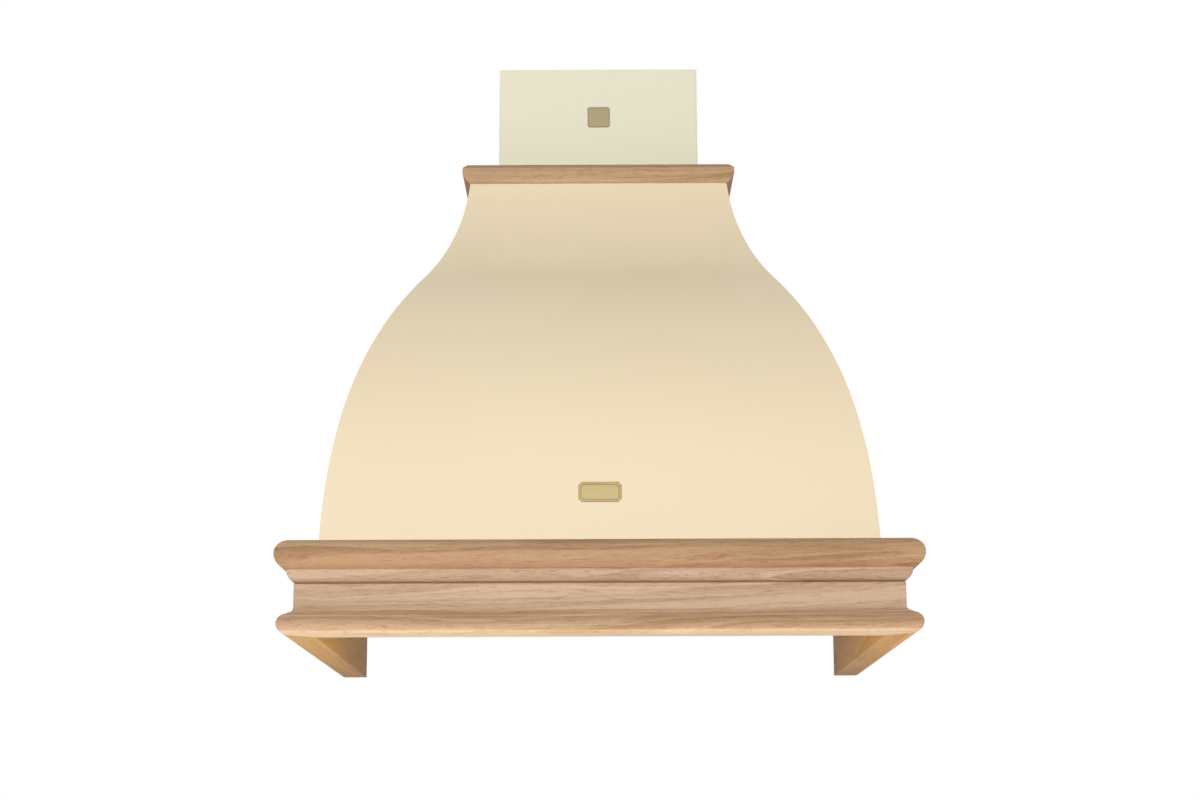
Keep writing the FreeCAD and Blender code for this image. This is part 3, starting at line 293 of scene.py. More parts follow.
def brushed_metal(name, color, stretch, roughness=0.32, depth=0.10):
    """Metal drawn or brushed along the axis whose stretch is smallest."""
    finish = Finish(name, metallic=1.0)
    lines = finish.noise(finish.stretched(*stretch), 1.0, 4.0, 0.6)
    dull = finish.noise(finish.place, 40.0, 2.0)
    finish.set("Base Color",
               finish.blend(color, toned(color, 1.18), finish.ramp(lines, 0.3, 0.7)))
    finish.set("Roughness", roughness + lines * 0.12 + dull * 0.06)
    finish.bump(lines, depth, 0.05 * MM)
    return finish.material


def moulded_plastic(name, color, roughness=0.48, grain=2200.0, depth=0.10):
    """Plastic with the fine spark-eroded grain of its mould."""
    finish = Finish(name, specular_ior_level=0.45)
    spark = finish.noise(finish.place, grain, 2.0, 0.6)
    wear = finish.noise(finish.place, 30.0, 3.0)
    finish.set("Base Color",
               finish.blend(color, toned(color, 0.86), finish.ramp(wear, 0.35, 0.75)))
    finish.set("Roughness", roughness + spark * 0.10)
    finish.bump(spark, depth, 0.05 * MM)
    return finish.material


def frosted_lens(name):
    """Prismatic polycarbonate: small square pyramids that scatter the light."""
    finish = Finish(name, transmission_weight=0.55, ior=1.58)
    prisms = finish.stretched(1600.0, 1600.0, 0.0)
    parts = finish.node("ShaderNodeSeparateXYZ", None, [prisms], output="X")
    waves = parts.math("SINE", parts) + parts.math("SINE", parts.other("Y"))
    finish.set("Base Color", ink(240, 243, 240))
    finish.set("Roughness", 0.28 + finish.noise(finish.place, 80.0) * 0.10)
    finish.bump(waves, 0.35, 0.3 * MM)
    return finish.material


def stove_enamel(name, color):
    """Dull painted steel with pressed laminations round it."""
    finish = Finish(name, metallic=0.35)
    plates = finish.stretched(2600.0, 0.0, 0.0)
    parts = finish.node("ShaderNodeSeparateXYZ", None, [plates], output="X")
    ridges = parts.math("SINE", parts)
    cloud = finish.noise(finish.place, 90.0)
    finish.set("Base Color",
               finish.blend(color, toned(color, 1.3), finish.ramp(cloud, 0.3, 0.7)))
    finish.set("Roughness", 0.42 + cloud * 0.12)
    finish.bump(ridges, 0.25, 0.15 * MM)
    return finish.material


# Levels, pale tones and deep tones of the rails and of the neck trim, from the top down. On the
# rails the crown and the foot are cut from darker strips than the fascia; the rest is painted light
# and shade: painted shade in the groove at 48 mm, a lighter band at 16 to 21 mm against the cove's
# shadow, and the foot lighter and lighter towards its underside, painted light from below.
RAIL_TONES_AND_PAINTED_SHADING = (
    (88 * MM, ink(197, 163, 126), ink(156, 116, 80)),
    (80 * MM, ink(188, 152, 116), ink(147, 107, 73)),
    (66 * MM, ink(188, 151, 115), ink(149, 108, 73)),
    (60.3 * MM, ink(202, 174, 150), ink(166, 132, 106)),
    (49.6 * MM, ink(170, 137, 105), ink(134, 100, 70)),
    (47.6 * MM, ink(208, 178, 151), ink(170, 135, 106)),
    (20.8 * MM, ink(212, 180, 148), ink(178, 142, 110)),
    (16.0 * MM, ink(191, 158, 126), ink(154, 118, 85)),
    (8.5 * MM, ink(200, 166, 132), ink(164, 126, 92)),
    (5.5 * MM, ink(210, 175, 142), ink(174, 134, 99)),
    (3.5 * MM, ink(238, 204, 170), ink(214, 177, 141)),
    (0.4 * MM, ink(255, 228, 192), ink(236, 200, 160)),
)
# On the neck trim, darker and lighter rows lie below its top, and the two lowest steps, lighter
# towards the bottom edge, are a painted highlight.
TRIM_TONES_AND_PAINTED_HIGHLIGHT = (
    (525 * MM, ink(188, 155, 120), ink(149, 111, 77)),
    (521.6 * MM, ink(181, 147, 113), ink(141, 103, 70)),
    (519.6 * MM, ink(192, 159, 124), ink(152, 113, 78)),
    (517.8 * MM, ink(184, 150, 115), ink(144, 106, 72)),
    (516.6 * MM, ink(194, 160, 123), ink(154, 114, 78)),
    (510.4 * MM, ink(200, 165, 129), ink(160, 120, 84)),
    (508.0 * MM, ink(207, 177, 147), ink(175, 139, 108)),
)
# The side trims take the trim's top rows, and below 514 mm a darker tone: painted shade on their
# lower cove.
SIDE_TRIM_TONES_AND_PAINTED_SHADE = TRIM_TONES_AND_PAINTED_HIGHLIGHT[:5] + (
    (514.0 * MM, ink(150, 111, 76), ink(112, 76, 48)),
)
RAIL_THICKNESS = 36 * MM
INNER_HALF = HOOD_HALF - RAIL_THICKNESS
BEECH_FRONT = beech("beech_front", "X", -0.035, 0.9, RAIL_TONES_AND_PAINTED_SHADING,
                    (RAIL_THICKNESS - HOOD_DEPTH, 1, -1 * MM))
BEECH_LEFT = beech("beech_left", "Y", -0.030, 2.3, RAIL_TONES_AND_PAINTED_SHADING, (-INNER_HALF, 1, 0.2 * MM))
BEECH_RIGHT = beech("beech_right", "Y", 0.030, 3.9, RAIL_TONES_AND_PAINTED_SHADING, (INNER_HALF, -1, 0.2 * MM))
BEECH_TRIM_FRONT = beech("beech_trim_front", "X", -0.030, 1.7, TRIM_TONES_AND_PAINTED_HIGHLIGHT)
BEECH_TRIM_SIDE = beech("beech_trim_side", "Y", 0.025, 3.3, SIDE_TRIM_TONES_AND_PAINTED_SHADE)
DOME_PAINT = powder_coat("dome_ivory", ink(243, 226, 192), ink(239, 219, 184))
CHIMNEY_PAINT = powder_coat("chimney_ivory", ink(236, 232, 206), ink(232, 229, 204))
GALVANISED = galvanised_sheet("galvanised")
ALUMINIUM = brushed_metal("filter_aluminium", ink(196, 198, 200), (900.0, 60.0, 900.0))
ALUMINIUM_STRAND = brushed_metal("strand_aluminium", ink(205, 207, 208),
                                 (500.0, 500.0, 500.0), 0.28)
LAMP_METAL = brushed_metal("lamp_nickel", ink(188, 186, 182), (60.0, 900.0, 900.0), 0.26)
HEAT_SINK = brushed_metal("cast_heat_sink", ink(150, 152, 154), (700.0, 700.0, 700.0), 0.5, 0.3)
STEEL = brushed_metal("bright_zinc", ink(186, 188, 190), (800.0, 800.0, 800.0), 0.24)
BRASS = brushed_metal("plate_brass", ink(154, 138, 100), (70.0, 1600.0, 1600.0), 0.34)
BRASS_DEEP = brushed_metal("plate_brass_deep", ink(138, 127, 99), (70.0, 1600.0, 1600.0), 0.42)
LENS = frosted_lens("prism_lens")
CONTROL_PLASTIC = moulded_plastic("control_ivory", ink(238, 228, 206), 0.42)
BUTTON_PLASTIC = moulded_plastic("button_ivory", ink(240, 232, 212), 0.30, 1800.0, 0.05)
LATCH_PLASTIC = moulded_plastic("latch_black", ink(58, 58, 60), 0.46)
SWITCH_PLASTIC = moulded_plastic("switch_black", ink(44, 44, 46), 0.50)
BLOWER_PLASTIC = moulded_plastic("blower_grey", ink(96, 99, 102), 0.52, 1400.0, 0.14)
WHEEL_PLASTIC = moulded_plastic("wheel_black", ink(52, 54, 57), 0.44)
TERMINAL_PLASTIC = moulded_plastic("terminal_grey", ink(206, 206, 200), 0.50)
CAPACITOR_CAN = moulded_plastic("capacitor_white", ink(224, 224, 220), 0.34)
PRINT = moulded_plastic("button_print", ink(70, 62, 52), 0.5)
MOTOR_PAINT = stove_enamel("motor_steel", ink(112, 114, 118))

FINISH_OF_SLOT = {
    "galvanised": GALVANISED, "dome_paint": DOME_PAINT, "chimney_paint": CHIMNEY_PAINT,
    "beech": BEECH_FRONT, "filter_aluminium": ALUMINIUM, "latch_plastic": LATCH_PLASTIC,
    "lamp_metal": LAMP_METAL, "lamp_heat_sink": HEAT_SINK, "lens": LENS,
    "control_plastic": CONTROL_PLASTIC, "button_plastic": BUTTON_PLASTIC,
    "switch_plastic": SWITCH_PLASTIC, "blower_plastic": BLOWER_PLASTIC,
    "wheel_plastic": WHEEL_PLASTIC, "motor_steel": MOTOR_PAINT, "steel": STEEL,
    "terminal_plastic": TERMINAL_PLASTIC, "capacitor_can": CAPACITOR_CAN,
}


def new_piece(name, mesh, material, body, sharp=35.0):
    """A finished mesh as a piece that rides on a body. Edges of more than sharp degrees stay
    sharp in its shading."""
    mesh.materials.clear()
    mesh.materials.append(material)
    mesh.shade_smooth()
    mesh.set_sharp_from_angle(angle=math.radians(sharp))
    piece = bpy.data.objects.new(name, mesh)
    bpy.context.scene.collection.objects.link(piece)
    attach(piece, body)
    return piece


def rounded(piece, width, angle=40.0):
    """Break the piece's edges of more than angle degrees."""
    bevel = piece.modifiers.new("edges", "BEVEL")
    bevel.width = width
    bevel.segments = 2
    bevel.limit_method = "ANGLE"
    bevel.angle_limit = math.radians(angle)


def mesh_from(name, points, faces):
    """A mesh of these points and faces, with its faces turned outwards."""
    mesh = bpy.data.meshes.new(name)
    mesh.from_pydata([tuple(point) for point in points], [], faces)
    solid = bmesh.new()
    solid.from_mesh(mesh)
    bmesh.ops.recalc_face_normals(solid, faces=solid.faces)
    solid.to_mesh(mesh)
    solid.free()
    return mesh


def body_of_node(node):
    return frame["nodes"][node]["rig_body"]


# Points nearer to each other than this are one point.
SAME_POINT = 0.002 * MM


def fine(node, material, edge):
    """A smooth-shaded copy of a CAD node, with its edges broken, that stands for the node."""
    mesh = frame["nodes"][node].data.copy()
    mesh.name = node + "_fine"
    solid = bmesh.new()
    solid.from_mesh(mesh)
    bmesh.ops.remove_doubles(solid, verts=solid.verts, dist=SAME_POINT)
    bmesh.ops.dissolve_limit(solid, angle_limit=math.radians(0.5), verts=solid.verts,
                             edges=solid.edges)
    solid.to_mesh(mesh)
    solid.free()
    piece = new_piece(node + "_fine", mesh, material, body_of_node(node))
    if edge:
        rounded(piece, edge)
    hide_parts(node)


# Beech mouldings


TRIM_HALF, TRIM_DEPTH = 145 * MM, 248 * MM
MITRE_GAP = 0.08 * MM
BROKEN_EDGE = 0.35 * MM
ARC_STEP = 0.6 * MM


def arc(start, end, radius):
    """Points of the shorter arc from start to end. A positive radius has its centre on the left."""
    start, end = Vector(start), Vector(end)
    chord = end - start
    left = Vector((-chord.y, chord.x)).normalized()
    rise = math.sqrt(max(radius ** 2 - (chord.length / 2) ** 2, 0))
    centre = (start + end) / 2 + left * math.copysign(rise, radius)
    first, last = start - centre, end - centre
    turn = math.atan2(first.x * last.y - first.y * last.x, first.dot(last))
    count = max(4, math.ceil(abs(turn) * abs(radius) / ARC_STEP))
    return [tuple(centre + Matrix.Rotation(turn * i / count, 2) @ first)
            for i in range(count + 1)]


def rail_profile():
    """The rail's section from its outer face inwards, as (inset, level) points."""
    height, thickness = 88 * MM, RAIL_THICKNESS
    crown, foot = 14 * MM, 10 * MM
    crown_level = height - crown
    crown_end = crown_level - math.sqrt(crown ** 2 - (3.5 * MM) ** 2)
    foot_start = foot + math.sqrt(foot ** 2 - (1.2 * MM) ** 2)
    points = [(thickness, 0), (thickness, height)]
    points += arc((crown, height), (0, crown_level), crown)
    points += arc((0, crown_level), (10.5 * MM, crown_end), crown)[1:]
    points += arc((11 * MM, 59.5 * MM), (17.4 * MM, 49.2 * MM), foot)
    points += [(18.2 * MM, 48.4 * MM), (17 * MM, 47.8 * MM)]
    points += arc((17 * MM, 26 * MM), (12 * MM, 21 * MM), -5 * MM)
    points += arc((12 * MM, foot_start), (3.2 * MM, foot), foot)
    points += arc((3.2 * MM, foot), (13.2 * MM, 0), foot)[1:]
    return points


def trim_profile():
    """The neck trim's section, as (inset, level) points."""
    neck, top, lip = 505 * MM, 525 * MM, 521 * MM
    skin = 7.7 * MM
    points = [(skin, neck), (skin, lip), (24 * MM, lip), (24 * MM, top), (5 * MM, top),
              (0, 520.5 * MM)]
    return points + arc((0, 517.5 * MM), (7.2 * MM, neck), 12 * MM)


def moulding(name, profile, half, depth, side, material):
    """A moulding across the front (side 0) or along one side, mitred at its front corners."""
    points, count = [], len(profile)
    for end in (0, 1):
        for inset, level in profile:
            if side == 0:
                across = (half - inset - MITRE_GAP) * (1 if end else -1)
                points.append((across, inset - depth, level + LOW))
            else:
                back = 0.0 if end else inset - depth + MITRE_GAP
                points.append((side * (half - inset), back, level + LOW))
    faces = [(i, (i + 1) % count, count + (i + 1) % count, count + i) for i in range(count)]
    faces += [tuple(range(count)), tuple(range(count, 2 * count))]
    mesh = mesh_from(name, points, faces)
    piece = new_piece(name, mesh, material, "hood", 24.0)
    rounded(piece, BROKEN_EDGE, 50.0)
    return piece


def beech_pieces():
    pieces = (
        ("front", 0, BEECH_FRONT, BEECH_TRIM_FRONT),
        ("left", -1, BEECH_LEFT, BEECH_TRIM_SIDE),
        ("right", 1, BEECH_RIGHT, BEECH_TRIM_SIDE),
    )
    for place, side, rail_finish, trim_finish in pieces:
        rail = moulding("moulded_rail_" + place, rail_profile(), HOOD_HALF, HOOD_DEPTH, side,
                        rail_finish)
        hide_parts(place + "_rail")
        trim = moulding("moulded_trim_" + place, trim_profile(), TRIM_HALF, TRIM_DEPTH, side,
                        trim_finish)
        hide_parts("top_trim_" + place)


# Grease filter mesh: crossed zigzag strands of expanded aluminium


def geometry_tree(name, inputs):
    """An empty geometry tree with named number inputs, and the wires of these inputs."""
    group = bpy.data.node_groups.new(name, "GeometryNodeTree")
    sockets = {}
    for label, kind in inputs.items():
        sockets[label] = group.interface.new_socket(name=label, in_out="INPUT", socket_type=kind)
    group.interface.new_socket(name="Geometry", in_out="OUTPUT", socket_type="NodeSocketGeometry")
    tree = Tree(group)
    source = tree.node("NodeGroupInput")
    wires = {label: source.other(label) for label in inputs}
    return tree, wires, {label: socket.identifier for label, socket in sockets.items()}


def grown(name, tree, identifiers, values, mesh=None):
    """The plain mesh that a geometry tree makes with the given input values."""
    holder = bpy.data.objects.new(name, mesh or bpy.data.meshes.new(name))
    bpy.context.scene.collection.objects.link(holder)
    modifier = holder.modifiers.new("grow", "NODES")
    modifier.node_group = tree.tree
    for label, value in values.items():
        modifier[identifiers[label]] = value
    evaluated = holder.evaluated_get(bpy.context.evaluated_depsgraph_get())
    made = bpy.data.meshes.new_from_object(evaluated)
    bpy.data.objects.remove(holder)
    made.name = name
    return made


def expanded_metal():
    """Rows of zigzag strands that touch at their peaks, as in expanded metal."""
    tree, size, names = geometry_tree("expanded_metal", {
        "Cell Length": "NodeSocketFloat", "Cell Width": "NodeSocketFloat",
        "Bends": "NodeSocketInt", "Rows": "NodeSocketInt",
        "Strand Width": "NodeSocketFloat", "Strand Gauge": "NodeSocketFloat",
        "Tilt": "NodeSocketFloat", "Metal": "NodeSocketMaterial"})
    half_cell = size["Cell Length"] * 0.5
    step = tree.node("ShaderNodeCombineXYZ", None, [half_cell, 0.0, 0.0])
    line = tree.node("GeometryNodeMeshLine", {"mode": "OFFSET"}, {
        "Count": size["Bends"], "Offset": step})
    index = tree.node("GeometryNodeInputIndex")
    swing = index.math("MODULO", index, 2.0) * 2.0 - 1.0
    offset = tree.node("ShaderNodeCombineXYZ", None, [
        0.0, swing * size["Cell Width"] * 0.25, swing * size["Tilt"]])
    zigzag = tree.node("GeometryNodeSetPosition", None, {"Geometry": line, "Offset": offset})
    curve = tree.node("GeometryNodeMeshToCurve", None, {"Mesh": zigzag})
    section = tree.node("GeometryNodeCurvePrimitiveQuadrilateral", None, {
        "Width": size["Strand Gauge"], "Height": size["Strand Width"]})
    strand = tree.node("GeometryNodeCurveToMesh", None, {
        "Curve": curve, "Profile Curve": section, "Fill Caps": True})
    row_step = tree.node("ShaderNodeCombineXYZ", None, [0.0, size["Cell Width"] * 0.5, 0.0])
    rows = tree.node("GeometryNodeMeshLine", {"mode": "OFFSET"}, {
        "Count": size["Rows"], "Offset": row_step})
    row = tree.node("GeometryNodeInputIndex")
    shift = tree.node("ShaderNodeCombineXYZ", None, [
        row.math("MODULO", row, 2.0) * half_cell, 0.0, 0.0])
    moved = tree.node("GeometryNodeSetPosition", None, {"Geometry": rows, "Offset": shift})
    laid = tree.node("GeometryNodeInstanceOnPoints", None, {"Points": moved, "Instance": strand})
    real = tree.node("GeometryNodeRealizeInstances", None, [laid])
    done = tree.node("GeometryNodeSetMaterial", None, {
        "Geometry": real, "Material": size["Metal"]})
    tree.end("NodeGroupOutput", done)
    return tree, names


# The layers of a filter, from the bottom up, in millimetres: height over the underside of the
# CAD node, cell length, cell width, strand width, strand gauge, tilt, and whether the layer is
# turned by a right angle. The outer layers are coarse and the inner ones fine.
LAYERS = (
    (0.7, 11.0, 6.4, 1.1, 0.45, 0.35, False),
    (2.0, 6.5, 3.7, 0.5, 0.25, 0.30, True),
    (2.9, 5.9, 3.8, 0.5, 0.25, 0.30, False),
    (4.0, 11.0, 6.4, 1.1, 0.45, 0.35, False),
)


def filter_layers():
    tree, names = expanded_metal()
    for side in ("left", "right"):
        low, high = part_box("filter_mesh_" + side)
        width, length = high.x - low.x, high.y - low.y
        layers = bmesh.new()
        for level, cell, pitch, strand, gauge, tilt, turned in LAYERS:
            across, along = (length, width) if turned else (width, length)
            bends = int(across / (cell * MM / 2)) - 1
            rows = int(along / (pitch * MM / 2)) - 1
            mesh = grown("layer", tree, names, {
                "Cell Length": cell * MM, "Cell Width": pitch * MM, "Bends": bends,
                "Rows": rows, "Strand Width": strand * MM, "Strand Gauge": gauge * MM,
                "Tilt": tilt * MM, "Metal": ALUMINIUM_STRAND})
            reach = Vector(((bends - 1) * cell * MM / 2, (rows - 1) * pitch * MM / 2, 0))
            turn = Matrix.Rotation(math.radians(90), 4, "Z") if turned else Matrix()
            middle = Vector(((low.x + high.x) / 2, (low.y + high.y) / 2, low.z + level * MM))
            mesh.transform(Matrix.Translation(middle) @ turn @ Matrix.Translation(-reach / 2))
            layers.from_mesh(mesh)
            bpy.data.meshes.remove(mesh)
        mesh = bpy.data.meshes.new("expanded_layers_" + side)
        layers.to_mesh(mesh)
        layers.free()
        piece = new_piece("expanded_layers_" + side, mesh, ALUMINIUM_STRAND, "filter_" + side)
        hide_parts("filter_mesh_" + side)


# Bare plates

CORNER_STEPS = 6
PLAQUE_LEVEL, BADGE_LEVEL = 137 * MM, 590 * MM
PLATE_MIDDLE = 0.5 * MM


def notched(half_width, half_height, notch):
    """An outline with a quarter circle cut out of each corner."""
    points = []
    for across, up, first in ((1, 1, 270), (-1, 1, 0), (-1, -1, 90), (1, -1, 180)):
        corner = Vector((across * half_width, up * half_height))
        sweep = [math.radians(first - 90 * i / CORNER_STEPS) for i in range(CORNER_STEPS + 1)]
        points += [corner + notch * Vector((math.cos(a), math.sin(a))) for a in sweep]
    return points


def round_cornered(half_width, half_height, corner):
    """An outline with rounded corners."""
    points = []
    for across, up, first in ((1, 1, 0), (-1, 1, 90), (-1, -1, 180), (1, -1, 270)):
        centre = Vector((across * (half_width - corner), up * (half_height - corner)))
        sweep = [math.radians(first + 90 * i / CORNER_STEPS) for i in range(CORNER_STEPS + 1)]
        points += [centre + corner * Vector((math.cos(a), math.sin(a))) for a in sweep]
    return points


def touch(node, start, direction):
    """Where a straight line from start first meets a CAD node, and the node's normal there."""
    mesh = frame["nodes"][node].data
    tree = BVHTree.FromPolygons([v.co for v in mesh.vertices],
                                [tuple(face.vertices) for face in mesh.polygons])
    hit, normal, _, _ = tree.ray_cast(Vector(start), Vector(direction))
    return hit, normal


def stepped_plate(name, outlines, node, level, material):
    """A plate on the front of a node's skin, built up of rings: each outline lies at its own
    height over the plate's back."""
    count = len(outlines[0][0])
    points, faces = [], []
    for outline, height in outlines:
        points += [(point.x, -height, point.y) for point in outline]
    for ring in range(len(outlines) - 1):
        for i in range(count):
            j = (i + 1) % count
            faces.append((ring * count + i, ring * count + j, (ring + 1) * count + j,
                          (ring + 1) * count + i))
    faces.append(tuple(range(count)))
    faces.append(tuple(range((len(outlines) - 1) * count, len(outlines) * count)))
    mesh = mesh_from(name, points, faces)
    place, normal = touch(node, (PLATE_MIDDLE, -1.0, level + LOW), TO_WALL)
    lean = math.asin(normal.z)
    mesh.transform(Matrix.Translation(place) @ Matrix.Rotation(-lean, 4, "X"))
    new_piece(name, mesh, material, body_of_node(node), 30.0)


def plaque():
    half_width, half_height = 20.4 * MM, 9.8 * MM

    def ring(inset, height):
        return (notched(half_width - inset * MM, half_height - inset * MM,
                        max(2.6 - inset * 0.2, 1.4) * MM), height * MM)

    rings = [ring(0, 0), ring(0, 0.7), ring(0.3, 1.0), ring(1.0, 1.0), ring(1.2, 0.6),
             ring(1.9, 0.6), ring(2.1, 0.95), ring(2.6, 0.95), ring(2.9, 0.6)]
    stepped_plate("plaque", rings, "front_panel", PLAQUE_LEVEL, BRASS)


def badge():
    half_width, half_height = 12.1 * MM, 11.5 * MM

    def ring(inset, height):
        return (round_cornered(half_width - inset * MM, half_height - inset * MM,
                               (2.6 - inset) * MM), height * MM)

    rings = [ring(0, 0), ring(0, 0.8), ring(0.35, 1.1), ring(0.9, 1.1), ring(1.1, 0.9)]
    stepped_plate("badge", rings, "chimney_cover", BADGE_LEVEL, BRASS_DEEP)


# Screws and button signs


def ring_points(count, first, radius, height):
    return [(radius * math.cos(first + math.tau * i / count),
             radius * math.sin(first + math.tau * i / count), height) for i in range(count)]


def stacked(name, rings):
    """A closed shell over rings of points, each of as many points as the first."""
    count = len(rings[0])
    faces = [(ring * count + i, ring * count + (i + 1) % count,
              (ring + 1) * count + (i + 1) % count, (ring + 1) * count + i)
             for ring in range(len(rings) - 1) for i in range(count)]
    faces += [tuple(range(count)), tuple(range((len(rings) - 1) * count, len(rings) * count))]
    return mesh_from(name, [point for ring in rings for point in ring], faces)


def pan_head():
    """A screw's pan head of radius 1 with its cross recess, standing on the ground plane."""
    arm, wide = 0.52, 0.13
    quarter = [(arm, -wide), (arm, wide), (wide, wide)]
    cross = []
    for turn in range(4):
        cross += [tuple(Matrix.Rotation(math.radians(90 * turn), 2) @ Vector(point))
                  for point in quarter]
    first = math.radians(-15)
    rings = [ring_points(12, first, radius, height)
             for radius, height in ((1.0, -0.02), (1.0, 0.28), (0.88, 0.54), (0.64, 0.68))]
    rings.append([(x, y, 0.70) for x, y in cross])
    rings.append([(x * 0.8, y * 0.8, 0.22) for x, y in cross])
    return stacked("pan_head", rings)


def screw_tree():
    """A pan head at each point, facing as the point does, its cross turned at random."""
    tree, size, names = geometry_tree("pan_head_screws", {
        "Places": "NodeSocketGeometry", "Head": "NodeSocketObject", "Seed": "NodeSocketInt",
        "Metal": "NodeSocketMaterial"})
    facing = tree.node("GeometryNodeInputNamedAttribute", {"data_type": "FLOAT_VECTOR"},
                       {"Name": "facing"})
    radius = tree.node("GeometryNodeInputNamedAttribute", {"data_type": "FLOAT"},
                       {"Name": "radius"})
    upright = tree.node("FunctionNodeAlignRotationToVector", {"axis": "Z"}, {"Vector": facing})
    angle = tree.node("FunctionNodeRandomValue", {"data_type": "FLOAT"},
                      {2: 0.0, 3: math.pi / 2, 8: size["Seed"]}, 1)
    turn = tree.node("FunctionNodeAxisAngleToRotation", None, {"Axis": (0, 0, 1), "Angle": angle})
    turned = tree.node("FunctionNodeRotateRotation", {"rotation_space": "LOCAL"},
                       {"Rotation": upright, "Rotate By": turn})
    head = tree.node("GeometryNodeObjectInfo", {"transform_space": "ORIGINAL"},
                     {"Object": size["Head"]}, "Geometry")
    laid = tree.node("GeometryNodeInstanceOnPoints", None, {
        "Points": size["Places"], "Instance": head, "Rotation": turned, "Scale": radius})
    real = tree.node("GeometryNodeRealizeInstances", None, [laid])
    done = tree.node("GeometryNodeSetMaterial", None, {
        "Geometry": real, "Material": size["Metal"]})
    tree.end("NodeGroupOutput", done)
    return tree, names


# Each line gives the node that a screw's head lies on, the way that it is driven, the head's
# radius, and the places: two numbers, in millimetres, on the axes across that way.
SCREWS = (
    ("underside_panel", UP, 3.4, ((-248, -22), (-248, -190), (-248, -340), (248, -22),
                                  (248, -190), (248, -340), (-110, -18), (110, -18),
                                  (-130, -431), (0, -431), (130, -431))),
    ("control_plate", UP, 2.2, ((-69.5, -388), (69.5, -388))),
    ("lamp_bezel_left", UP, 1.7, ((-249, -388), (-161, -388))),
    ("lamp_bezel_right", UP, 1.7, ((249, -388), (161, -388))),
    ("terminal_lid", TO_WALL, 2.3, ((114, 246), (166, 246), (114, 290), (166, 290))),
    ("capacitor_clip", TO_WALL, 2.0, ((-161, 263), (-112.2, 263))),
    ("blower_bracket_left", TO_WALL, 3.4, ((-90, 172), (-90, 278))),
    ("blower_bracket_right", TO_WALL, 3.4, ((90, 172), (90, 278))),
    ("chimney_guide_left", TO_WALL, 2.3, ((-75.5, 365), (-75.5, 485))),
    ("chimney_guide_right", TO_WALL, 2.3, ((75.5, 365), (75.5, 485))),
    ("motor_bracket", TO_RIGHT, 2.8, ((-159, 284.5), (-232.2, 157.8), (-85.8, 157.8))),
    ("motor_bracket", TO_RIGHT, 2.0, ((-159, 183), (-144.3, 208.5), (-173.7, 208.5))),
    ("outlet_collar", DOWN, 2.8, ((-75, -180), (75, -180), (-75, -30), (75, -30))),
    ("top_plate", DOWN, 2.3, ((-114.5, -28), (-114.5, -120), (-114.5, -200), (114.5, -28),
                              (114.5, -120), (114.5, -200), (-60, -217), (60, -217))),
)


# The cross of each head is turned by a random angle that follows from this number.
SCREW_SEED = 4


def screws():
    places, facings, radii = [], [], []
    for node, way, radius, spots in SCREWS:
        for first, second in spots:
            if way in (UP, DOWN):
                start = Vector((first * MM, second * MM, 0)) - Vector(way)
            elif way == TO_WALL:
                start = Vector((first * MM, -1.0, second * MM + LOW))
            else:
                start = Vector((-1.0, first * MM, second * MM + LOW))
            places.append(touch(node, start, way)[0])
            facings += [-part for part in way]
            radii.append(radius * MM)
    points = bpy.data.meshes.new("screw_places")
    points.from_pydata(places, [], [])
    points.attributes.new("facing", "FLOAT_VECTOR", "POINT").data.foreach_set("vector", facings)
    points.attributes.new("radius", "FLOAT", "POINT").data.foreach_set("value", radii)
    head = bpy.data.objects.new("pan_head", pan_head())
    bpy.context.scene.collection.objects.link(head)
    tree, names = screw_tree()
    mesh = grown("small_screws", tree, names,
                 {"Head": head, "Seed": SCREW_SEED, "Metal": STEEL}, points)
    bpy.data.objects.remove(head)
    new_piece("small_screws", mesh, STEEL, "hood", 30.0)


SIGN_HEIGHT = 8 * MM
SIGN_RELIEF = 0.12 * MM


def digit(sign):
    """A figure as a thin mesh in the ground plane, its middle on the origin."""
    curve = bpy.data.curves.new("digit", "FONT")
    curve.body = sign
    curve.size = SIGN_HEIGHT
    curve.extrude = SIGN_RELIEF
    curve.resolution_u = 5
    holder = bpy.data.objects.new("digit", curve)
    bpy.context.scene.collection.objects.link(holder)
    evaluated = holder.evaluated_get(bpy.context.evaluated_depsgraph_get())
    mesh = bpy.data.meshes.new_from_object(evaluated)
    bpy.data.objects.remove(holder)
    across = [vertex.co.x for vertex in mesh.vertices]
    along = [vertex.co.y for vertex in mesh.vertices]
    mesh.transform(Matrix.Translation((-(min(across) + max(across)) / 2,
                                       -(min(along) + max(along)) / 2, 0)))
    return mesh


def lamp_sign():
    """A small sun: a disc with eight short rays."""
    disc_radius, ray_start, ray_end, half_ray = 1.35 * MM, 2.0 * MM, 3.1 * MM, 0.24 * MM
    levels = (-SIGN_RELIEF, SIGN_RELIEF)
    disc = stacked("lamp_sign", [ring_points(24, 0, disc_radius, level) for level in levels])
    signs = bmesh.new()
    signs.from_mesh(disc)
    corners = [(ray_start, -half_ray), (ray_end, -half_ray), (ray_end, half_ray),
               (ray_start, half_ray)]
    for turn in range(8):
        around = Matrix.Rotation(math.radians(45 * turn), 3, "Z")
        ray = stacked("ray", [[tuple(around @ Vector((x, y, level))) for x, y in corners]
                              for level in levels])
        signs.from_mesh(ray)
        bpy.data.meshes.remove(ray)
    signs.to_mesh(disc)
    signs.free()
    return disc


def button_signs():
    """Plain figures for the fan's speeds and a sun for the lamps, to be read from below."""
    for button, sign in (("button_off", "0"), ("button_speed_1", "1"), ("button_speed_2", "2"),
                         ("button_speed_3", "3"), ("button_light", None)):
        low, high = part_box(button)
        mesh = digit(sign) if sign else lamp_sign()
        middle = ((low.x + high.x) / 2, (low.y + high.y) / 2, low.z)
        mesh.transform(Matrix.Translation(middle) @ Matrix.Rotation(math.pi, 4, "X"))
        new_piece("sign_" + button, mesh, PRINT, body_of_node(button))


# The other CAD nodes

